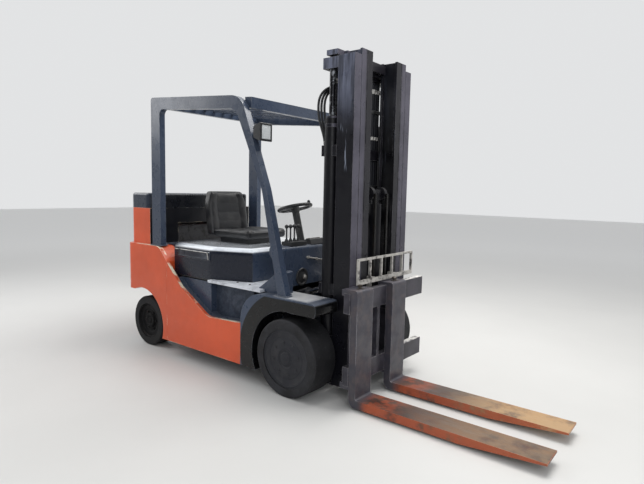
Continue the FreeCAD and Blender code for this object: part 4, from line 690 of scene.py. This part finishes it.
class TRUCK_OT_finishes(bpy.types.Operator):
    """Makes the finish of every material slot and gives it to the solids"""
    bl_idname = "truck.finishes"
    bl_label = "Finishes"

    def execute(self, context):
        colours = context.scene.truck_colours
        body, trim, mast, wheel = (tuple(colour) + (1.0,) for colour in (
            colours.body, colours.trim, colours.mast, colours.wheel))
        metal, grey = (128, 124, 120), (138, 144, 152)
        paint("orange_paint", body, (226, 214, 190), roughness=0.36, coat=0.2, worn=0.75, dust=0.12,
              tone=weight_tone, wear=(0.006, 9.0), specular=0.4)
        paint("slate_paint", trim, grey, coat=0.2, specular=0.4)
        paint("cap_paint", shade(trim, 0.6), grey, coat=0.2, tone=cap_tone, specular=0.4)
        paint("fender_paint", shade(trim, 1.15), grey, roughness=0.32, coat=0.08, tone=fender_tone,
              shine=fender_highlight_and_gloss, specular=0.3)
        paint("hood_paint", trim, grey, coat=0.1, worn=0.3, dust=0.1, tone=hood_tone, wear=(0.004, 7.0),
              shine=top_shine, specular=0.3)
        for name, tone in (("dark_paint", None), ("frame_paint", frame_tone)):
            paint(name, (34, 36, 42), metal, roughness=0.5, worn=0.4, dust=0.3, tone=tone, wear=(0.005, 9.0))
        paint("mast_paint", mast, (150, 148, 154), roughness=0.34, coat=0.08, worn=0.4, dust=0.12,
              tone=mast_tone, wear=(0.004, 4.0))
        paint("cylinder_paint", (18, 18, 23), (96, 94, 100), roughness=0.4, worn=0.3, dust=0.1,
              wear=(0.003, 6.0))
        paint("carriage_paint", mast, (168, 166, 168), roughness=0.42, worn=0.6, dust=0.15,
              tone=carriage_tone, wear=(0.006, 8.0))
        paint("wheel_paint", wheel, metal, roughness=0.6, coat=0.0, worn=0.12, dust=0.1, wear=(0.003, 12.0))
        paint("steer_paint", (13, 13, 15), metal, roughness=0.6, coat=0.0, worn=0.1, dust=0.1,
              wear=(0.003, 12.0), specular=0.15)
        rubber("tyre_rubber", (24, 24, 27))
        rubber("steer_rubber", (12, 12, 14), 0.2)
        chain_finish("leaf_chain")
        steel("greasy_rod", (26, 26, 30), (196, 200, 206), 0.34, 0.6, 0.4, 0.0002)
        steel("bright_bars", (192, 189, 184), (70, 67, 68), 0.4, 0.5)
        fork_finish("fork_steel")
        tread_finish("tread_plate")
        steel("chain_steel", (104, 98, 92), (52, 46, 42), 0.42, 0.85)
        steel("bright_rod", (205, 205, 208), (150, 148, 146), 0.16, 1.0, 0.2, 0.0001)
        steel("radiator_core", (88, 88, 90), (60, 58, 56), 0.5, 0.6)
        plastic("black_plastic", (34, 35, 38), 0.5, 900.0)
        plastic("seat_vinyl", (30, 31, 34), 0.42, 520.0)
        white = Finish("dial_white")
        white.colour(white.mix(white.noise(90.0), (224, 224, 216), (196, 196, 188)))
        lens = Finish("lamp_lens", roughness=0.12, coat=0.6)
        ribs = lens.step(lens.math("FRACT", lens.times(lens.where("Y"), 140.0)), 0.2, 0.8)
        lens.colour(lens.over((214, 218, 220), (120, 124, 128), ribs, 0.5))
        lens.bump(ribs, 0.5, 0.001)
        for part in frame["record"]["subparts"]:
            solid = frame["nodes"][part["node"]]
            solid.data.materials.clear()
            solid.data.materials.append(FINISHES[NODE_FINISHES.get(part["node"], part["material_slot"])])
        return {"FINISHED"}


class TRUCK_OT_wheels(bpy.types.Operator):
    """Makes the pressed discs, hubs and nuts of the four wheels"""
    bl_idname = "truck.wheels"
    bl_label = "Wheels"

    def execute(self, context):
        for side, word in SIDES:
            out = LEFT * side
            disc = turned(at(0, side * 0.4265, DRIVE_RADIUS), out, 0.2095, 0.217, [
                (0.012, 0), (0.01, -0.005), (0.03, -0.001), (0.008, -0.003), (0.008, 0.003), (0.045, 0.001),
                (0.016, 0.006), (0.012, 0), (0.006, -0.004), (0.016, 0), (0.005, 0.007), (0.01, 0.002)],
                [(0.014, 0), (0, -0.1575)], sides=96)
            nuts = bolts(ring(at(0, side * 0.6335, DRIVE_RADIUS), out, 0.118, 8, 0.2), out, 0.019, 0.009)
            wheel = fitted([disc] + nuts, "drive_%s_disc" % word, "drive_wheel_" + word, "wheel_paint", 25)
            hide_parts("drive_%s_wheel" % word)
            disc = turned(at(STEER_X, side * 0.412, STEER_RADIUS), out, 0.1595, 0.166, [
                (0.008, 0), (0.006, -0.012), (0.03, -0.002), (0.018, -0.01), (0.03, 0), (0.004, 0.012),
                (0.006, 0.004), (0.018, 0), (0.003, -0.004), (0.014, 0), (0.002, 0.005)],
                [(0.014, 0), (0, -0.111)], sides=80)
            nuts = bolts(ring(at(STEER_X, side * 0.554, STEER_RADIUS), out, 0.083, 6, 0.3), out, 0.017, 0.01)
            wheel = fitted([disc] + nuts, "steer_%s_disc" % word, "steer_wheel_" + word, "steer_paint", 25,
                           "wheel_paint")
            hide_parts("steer_%s_wheel" % word)
        return {"FINISHED"}


def padding(piece, pinned):
    """Swells a closed shape between pinned seams by cloth under pressure, no point further than PAD_CAP."""
    take(piece)
    rest = [vertex.co.copy() for vertex in piece.data.vertices]
    held = piece.vertex_groups.new(name="seams")
    held.add([index for index, spot in enumerate(rest) if pinned(spot)], 1.0, "REPLACE")
    cloth = piece.modifiers.new("padding", "CLOTH")
    for key, value in (("vertex_group_mass", "seams"), ("use_pressure", True), ("quality", 5),
                       ("uniform_pressure_force", 4.0), ("tension_stiffness", 12.0),
                       ("compression_stiffness", 12.0), ("bending_stiffness", 0.6)):
        setattr(cloth.settings, key, value)
    cloth.settings.effector_weights.gravity = 0.0
    cloth.point_cache.frame_start = 1
    cloth.point_cache.frame_end = 20
    for number in range(1, 21):
        bpy.context.scene.frame_set(number)
    bpy.ops.object.modifier_apply(modifier=cloth.name)
    bpy.context.scene.frame_set(1)
    for vertex, spot in zip(piece.data.vertices, rest):
        move = vertex.co - spot
        if move.length > PAD_CAP:
            vertex.co = spot + move.normalized() * PAD_CAP
    piece.vertex_groups.clear()


def pad(low, high, edge, shape, pinned):
    """A padded form: a block with round edges, shaped, then filled."""
    piece = block(low, high, edge, 5)
    take(piece)
    bpy.ops.object.mode_set(mode="EDIT")
    bpy.ops.mesh.select_all(action="SELECT")
    bpy.ops.mesh.subdivide(number_cuts=12)
    bpy.ops.object.mode_set(mode="OBJECT")
    modify(piece, "REMESH", mode="VOXEL", voxel_size=PAD_VOXEL)
    for vertex in piece.data.vertices:
        vertex.co = shape(vertex.co.copy())
    padding(piece, pinned)
    return modify(piece, "SUBSURF", levels=1, render_levels=1)


def hump(value, centre, width):
    """1 at the centre, falling smoothly to 0 a width away."""
    gap = min(1.0, abs(value - centre) / width)
    return (1.0 - gap * gap) ** 2


def rise(value, low, high):
    """0 below one value, 1 above another, smooth between them."""
    share = min(1.0, max(0.0, (value - low) / (high - low)))
    return share * share * (3 - 2 * share)


def seams(along, across, half, line, channels):
    """True on a face's sewn lines: two along it, and channels across it at shares of its half length."""
    if abs(abs(across) - line) < STITCH:
        return True
    return abs(across) < line and min(abs(along - half * share) for share in channels) < STITCH


def round_frame(centre, half_x, half_y, corner):
    """Points round a level rectangle with round corners."""
    points = []
    for number, (sign_x, sign_y) in enumerate(((1, 1), (-1, 1), (-1, -1), (1, -1))):
        for step in range(5):
            turn = math.pi / 2 * (number + step / 4)
            points.append(Vector(centre) + FORWARD * (sign_x * (half_x - corner) + corner * math.cos(turn))
                          + LEFT * (sign_y * (half_y - corner) + corner * math.sin(turn)))
    return points


class TRUCK_OT_seat(bpy.types.Operator):
    """Fills and sews the seat's cushion and back"""
    bl_idname = "truck.seat"
    bl_label = "Seat"

    def execute(self, context):
        low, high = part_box("seat_cushion")
        middle_x, half_x = (low.x + high.x) / 2, (high.x - low.x) / 2
        seam_z = high.z - 0.03

        def shaped(spot):
            share = rise(spot.z, low.z + 0.02, high.z)
            bolster = rise(abs(spot.y), 0.135, 0.185)
            spot.z += share * (bolster * 0.004 - (1 - bolster) * 0.012)
            spot.z -= share * 0.01 * rise(-(spot.x - middle_x) / half_x, 0.2, 1.0)
            spot.z += share * 0.006 * hump(spot.x, middle_x + half_x * 0.72, half_x * 0.3)
            spot.y *= 1.0 - 0.02 * hump(spot.x, middle_x, half_x)
            return spot

        def sewn(spot):
            along = spot.x - middle_x
            outer = abs(spot.y) > high.y - 0.022 or abs(along) > half_x - 0.022
            on_side = outer and abs(spot.z - seam_z) < 0.004
            on_top = spot.z > seam_z + 0.004 and abs(along) < half_x - 0.04
            quilted = on_top and seams(along, spot.y, half_x, 0.15, (-0.42, 0.0, 0.42))
            return on_side or quilted or spot.z < low.z + 0.006

        inside = Vector((0.01, 0.01, 0.0))
        cushion = pad(low + inside, high - inside - Vector((0, 0, 0.01)), 0.028, shaped, sewn)
        fitted(cushion, "seat_cushion_padded", "hood", "seat_vinyl", 60)
        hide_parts("seat_cushion")
        edge = round_frame((middle_x, 0, seam_z), half_x - 0.0085, high.y - 0.0095, 0.03)
        fitted(cord(edge, 0.0032), "seat_cushion_welt", "hood", "seat_vinyl", 60)

        low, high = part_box("seat_back")
        thick = 0.078
        lean = (high.x - low.x - 0.095) / (high.z - low.z)
        top = Vector((low.x + 0.01 + thick, high.y - 0.008, high.z - 0.006))
        base = Vector((low.x + 0.01, low.y + 0.008, low.z))
        middle_z, half_z = (low.z + high.z) / 2, (high.z - low.z) / 2

        def narrowed(z):
            return 1.0 - 0.16 * rise(z, middle_z, high.z) ** 2

        def shaped_back(spot):
            front = rise(spot.x, base.x + 0.02, top.x)
            bolster = rise(abs(spot.y), 0.125, 0.175)
            spot.x += front * (bolster * 0.012 - (1 - bolster) * 0.004)
            spot.x += front * 0.008 * hump(spot.z, low.z + 0.1, 0.09) * (1 - bolster)
            spot.y *= narrowed(spot.z)
            spot.x += lean * (high.z - spot.z)
            return spot

        def sewn_back(spot):
            along = spot.z - middle_z
            depth = spot.x - base.x - lean * (high.z - spot.z)
            outer = abs(spot.y) > (high.y - 0.008) * narrowed(spot.z) - 0.02 or abs(along) > half_z - 0.022
            on_side = outer and abs(depth - thick + 0.026) < 0.004
            on_face = depth > thick - 0.022 and abs(along) < half_z - 0.035
            quilted = on_face and seams(along, spot.y, half_z, 0.135, (-0.38, 0.02, 0.42))
            return on_side or quilted or depth < 0.006

        back = pad(base, top, 0.026, shaped_back, sewn_back)
        fitted(back, "seat_back_padded", "hood", "seat_vinyl", 60)
        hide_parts("seat_back")
        return {"FINISHED"}


class TRUCK_OT_controls(bpy.types.Operator):
    """Makes the trim of the steering wheel, the dials, the levers' boots and the pedal pads"""
    bl_idname = "truck.controls"
    bl_label = "Controls"

    def execute(self, context):
        column = Vector((-0.155, 0, 0.568)).normalized()
        centre = at(-0.5, 0, 1.31)
        cap = turned(centre + column * 0.0095, column, 0.031, 0.004,
                     [(0.003, 0.003), (0.01, 0.001), (0.002, -0.001)])
        foot = centre + LEFT * 0.118 + LEFT.cross(column).normalized() * 0.062
        knob = turned(foot + column * 0.01, column, 0.008, 0.02, sides=20)
        ball = turned(foot + column * 0.028, column, 0.013, 0.014,
                      [(0.002, 0.005), (0.004, 0.004), (0.004, 0.001)], [(0.003, 0.004)], sides=28)
        fitted([cap, knob, ball], "steering_trim", "steering_wheel", "black_plastic", 40)
        boots = [turned(at(-0.31, -0.172 - number * 0.045, 1.0595), UP, 0.017, 0.004, [
            (0.003, 0.004), (-0.001, 0.002), (0.003, 0.005), (-0.001, 0.002), (0.0025, 0.006)], sides=24)
            for number in range(4)]
        fitted(boots, "lever_boots", "truck", "black_plastic", 40)
        pads = []
        for low_y, high_y in ((-0.285, -0.215), (-0.145, -0.055), (0.05, 0.13)):
            pads.append(block(at(-0.4035, low_y + 0.003, 0.785), at(-0.4003, high_y - 0.003, 0.869), 0.0012))
            for row in range(6):
                z = 0.792 + row * 0.0135
                pads.append(block(at(-0.4065, low_y + 0.008, z), at(-0.403, high_y - 0.008, z + 0.006),
                                  0.0012))
        fitted(pads, "pedal_pads", "truck", "tyre_rubber", 40)
        up = Vector((-0.229, 0, 0.973)).normalized()
        half_mark = Vector((0.0008, 0.0008, 0.0002))
        bezels, faces, marks = [], [], []
        for y, radius in ((0.048, 0.027), (-0.012, 0.024), (-0.062, 0.018)):
            foot = at(-0.2975, y, 1.0652)
            bezels.append(turned(foot - up * 0.002, up, radius, 0.008,
                                 [(0.002, 0.001), (0.002, -0.001), (0, -0.003)]))
            faces.append(turned(foot, up, radius - 0.0045, 0.0034, [(0.001, 0.0003)]))
            level = foot + up * 0.004
            for spot in ring(level, up, radius * 0.66, 12)[:9]:
                marks.append(block(spot - half_mark, spot + half_mark, 0.0))
            marks.append(bar(level, ring(level, up, radius * 0.6, 12)[3], 0.0006, 8))
        fitted(bezels, "dial_bezels", "truck", "chain_steel", 35)
        fitted(faces, "dial_faces", "truck", "black_plastic", 35)
        fitted(marks, "dial_marks", "truck", "dial_white", 35, "black_plastic")
        return {"FINISHED"}


class TRUCK_OT_lamps(bpy.types.Operator):
    """Makes the lenses and rims of the work lamps"""
    bl_idname = "truck.lamps"
    bl_label = "Work lamps"

    def execute(self, context):
        low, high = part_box("work_lamps")
        for side, word in SIDES:
            near, far = sorted((side * (high.y - 0.12), side * high.y))
            rim = block((high.x - 0.01, near, low.z), (high.x + 0.004, far, high.z), 0.006, 3)
            worked(rim, FORWARD, [(0.008, 0), (0, -0.007)])
            fitted(rim, "work_lamp_rim_" + word, "truck", "black_plastic", 40)
            lens = block((high.x - 0.006, near + 0.009, low.z + 0.009),
                         (high.x - 0.001, far - 0.009, high.z - 0.009), 0.002)
            worked(lens, FORWARD, [(0.006, 0.0015), (0.012, 0.0015)])
            fitted(lens, "work_lamp_lens_" + word, "truck", "lamp_lens", 40, "black_plastic")
        return {"FINISHED"}


# The plates under the guard's posts: name, X of both ends, Z of both faces, reach to the right of the post's
# middle, X of the bolts, their Y, and the width and height of their heads
FEET = (
    ("post_foot_", -1.662, -1.508, 0.9455, 0.9535, 0.04, (-1.635, -1.585, -1.535), 0.5425, 0.018, 0.01),
    ("pillar_foot_", -0.12, -0.02, 0.7055, 0.7125, 0.035, (-0.1, -0.045), 0.545, 0.016, 0.009))


class TRUCK_OT_fasteners(bpy.types.Operator):
    """Makes the feet of the guard's posts and pillars, the lift cylinders' glands and the forks' latches"""
    bl_idname = "truck.fasteners"
    bl_label = "Fasteners"

    def execute(self, context):
        for side, word in SIDES:
            middle = side * POST_Y
            for name, rear, front, low, high, reach, holes, row, across, height in FEET:
                plate = block(at(rear, middle - reach, low), at(front, middle + 0.03, high), 0.002)
                pins = bolts([at(x, side * row, high) for x in holes], UP, across, height)
                fitted([plate] + pins, name + word, "truck", "slate_paint")
            gland = turned(at(0.133, side * CYLINDER_Y, 1.96), UP, 0.047, 0.012,
                           [(0.004, 0.004), (0.0185, 0), (0, -0.012)])
            collar = turned(at(0.133, side * CYLINDER_Y, 1.9), UP, 0.0515, 0.022,
                            [(0.0015, 0.0015)], [(0.0015, 0.0015)])
            fitted([gland, collar], "lift_gland_" + word, "mast_outer", "mast_paint")
        for word, y in FORK_Y.items():
            pin = turned(at(0.454, y, 0.8065), UP, 0.011, 0.016, [(0.002, 0.002)], sides=24)
            knob = turned(at(0.454, y, 0.8225), UP, 0.017, 0.01, [(0.003, 0.003)], [(0.003, 0.002)], 28)
            tab = block(at(0.44, y - 0.03, 0.8068), at(0.468, y + 0.03, 0.811), 0.0015)
            fitted([pin, knob, tab], "fork_latch_" + word, "fork_" + word, "chain_steel")
        return {"FINISHED"}


class TRUCK_OT_trim(bpy.types.Operator):
    """Makes the hood's grips, seals and latch, the cap's sockets, and the cowl's pipe and boot"""
    bl_idname = "truck.trim"
    bl_label = "Trim"

    def execute(self, context):
        for side, word in SIDES:
            near, far = sorted((side * 0.5602, side * 0.565))
            plate = block(at(-1.39, near, 0.868), at(-0.915, far, 0.938), 0.004, 3)
            worked(plate, LEFT * side, [(0.012, 0), (0, -0.004)])
            fitted(plate, "hood_grip_" + word, "hood", "hood_paint", slot="slate_paint")
            lip = bar(at(-0.948, side * 0.566, 0.934), at(-0.934, side * 0.566, 0.876), 0.0045, 16, 0.0015)
            rail = bar(at(-1.38, side * 0.5655, 0.934), at(-0.95, side * 0.5655, 0.934), 0.003, 16)
            fitted([lip, rail], "hood_grip_lip_" + word, "hood", "bright_bars", 40, "bright_rod")
            near, far = sorted((side * 0.5595, side * 0.563))
            seal = block(at(-1.405, near, 0.706), at(-0.64, far, 0.715), 0.0012)
            fitted(seal, "hood_seal_" + word, "truck", "black_plastic", 40)
            socket = turned(at(-1.86, side * 0.35, 1.402), UP, 0.034, 0.0026,
                            [(0.004, 0.0004), (0.008, 0), (0.002, -0.0022)], sides=40)
            fitted(socket, "cap_bolt_" + word, "truck", "black_plastic", 40)
        latch = block(at(-0.56, -0.035, 0.85), at(-0.549, 0.035, 0.905), 0.004, 3)
        lever = block(at(-0.55, -0.02, 0.86), at(-0.54, 0.02, 0.882), 0.003, 3)
        fitted([latch, lever], "hood_latch", "hood", "black_plastic", 40)
        pipe = bar(at(-0.22, -0.171, 0.936), at(-0.22, 0.086, 0.887), 0.0055)
        clips = [block(at(-0.225, y - 0.01, z - 0.01), at(-0.212, y + 0.01, z + 0.01), 0.002)
                 for y, z in ((-0.15, 0.932), (-0.045, 0.912), (0.065, 0.891))]
        fitted([pipe] + clips, "cowl_pipe", "truck", "bright_bars", 40, "bright_rod")
        boot = turned(at(-0.2255, -0.218, 0.784), FORWARD, 0.07, 0.006, [
            (0.004, 0.004), (0.012, -0.001), (0.004, -0.006), (0.014, 0), (0.006, 0.003)], sides=56)
        fitted(boot, "cowl_boot", "truck", "black_plastic", 40)
        union = turned(at(-0.223, -0.192, 0.782), FORWARD, 0.019, 0.01,
                       [(0.003, 0.002), (0.005, 0), (0.002, 0.003)], sides=6)
        fitted(union, "cowl_union", "truck", "bright_bars", 40, "bright_rod")
        return {"FINISHED"}


class TRUCK_OT_fittings(bpy.types.Operator):
    """Makes the crossbars' and the floor's bolts, and the mast's pipe clips, unions and hoses"""
    bl_idname = "truck.fittings"
    bl_label = "Mast fittings"

    def execute(self, context):
        places = [at(0.074, side * y, base + up) for side, _ in SIDES for y in (0.32, 0.356)
                  for base in (0.725, 1.7, 2.295) for up in (0.016, 0.059)]
        fitted(bolts(places, -FORWARD, 0.015, 0.008), "crossbar_bolts", "mast_outer", "chain_steel")
        places = [at(x, side * 0.512, 0.7225) for side, _ in SIDES for x in (-0.83, -0.64, -0.5)]
        fitted(bolts(places, UP, 0.012, 0.005), "floor_bolts", "truck", "chain_steel")
        pipes = [(side, number, side * (PIPE_Y + PIPE_STEP * number))
                 for side, _ in SIDES for number in range(3)]
        clips, unions, hoses = [], [], []
        for side, _ in SIDES:
            near, far = sorted((side * 0.18, side * 0.288))
            for z in (1.18, 1.48, 2.06):
                clips.append(block(at(0.102, near, z), at(0.144, far, z + 0.026), 0.003))
        for _, _, y in pipes:
            for z, radius, depth in ((2.215, 0.0175, 0.03), (1.86, 0.017, 0.024)):
                unions.append(turned(at(0.118, y, z), UP, radius, depth,
                                     [(0.003, 0.002)], [(0.003, 0.002)], 6))
        for side, number, y in pipes:
            end = side * (0.308 + 0.022 * number)
            back = 0.044 - 0.01 * number
            unions.append(bar(at(0.106, y, 2.19), at(0.076, y, 2.19), 0.0115, 6, 0.0015))
            unions.append(bar(at(0.086, end, 1.776), at(0.0825, end, 1.806), 0.0105, 6, 0.0015))
            hoses.append(cord([at(*spot) for spot in (
                (0.088, y, 2.19), (0.066, y, 2.196), (0.05, (y + end) / 2, 2.18), (back, end, 2.12),
                (back - 0.008, end, 2.04), (back + 0.004, end, 1.96), (0.06, end, 1.88),
                (0.078, end, 1.83), (0.083, end, 1.795))], 0.0088, closed=False))
        fitted(hoses, "mast_hoses", "mast_outer", "black_plastic", 60)
        fitted(clips, "pipe_clips", "mast_outer", "black_plastic")
        fitted(unions, "pipe_unions", "mast_outer", "bright_bars", slot="bright_rod")
        return {"FINISHED"}


OPERATORS = (TRUCK_OT_studio, TRUCK_OT_finishes, TRUCK_OT_wheels, TRUCK_OT_seat, TRUCK_OT_controls,
             TRUCK_OT_lamps, TRUCK_OT_fasteners, TRUCK_OT_trim, TRUCK_OT_fittings)
GROUPS = (TruckColours, StudioSettings)


class TRUCK_PT_panel(bpy.types.Panel):
    """Lists the steps that dress the truck"""
    bl_idname = "TRUCK_PT_panel"
    bl_label = "Lift truck"
    bl_space_type = "VIEW_3D"
    bl_region_type = "UI"
    bl_category = "Lift truck"

    def draw(self, context):
        for group in (context.scene.truck_colours, context.scene.truck_studio):
            for name in group.bl_rna.properties.keys():
                if name not in ("rna_type", "name"):
                    self.layout.prop(group, name)
        for operator in OPERATORS:
            self.layout.operator(operator.bl_idname)


def register():
    for cls in GROUPS + OPERATORS + (TRUCK_PT_panel,):
        bpy.utils.register_class(cls)
    bpy.types.Scene.truck_colours = bpy.props.PointerProperty(type=TruckColours)
    bpy.types.Scene.truck_studio = bpy.props.PointerProperty(type=StudioSettings)


def unregister():
    del bpy.types.Scene.truck_studio
    del bpy.types.Scene.truck_colours
    for cls in reversed(GROUPS + OPERATORS + (TRUCK_PT_panel,)):
        bpy.utils.unregister_class(cls)


def main():
    """Dresses the truck."""
    register()
    bpy.ops.truck.studio()
    bpy.ops.truck.finishes()
    bpy.ops.truck.wheels()
    bpy.ops.truck.seat()
    bpy.ops.truck.controls()
    bpy.ops.truck.lamps()
    bpy.ops.truck.fasteners()
    bpy.ops.truck.trim()
    bpy.ops.truck.fittings()


if __name__ == "__main__":
    main()
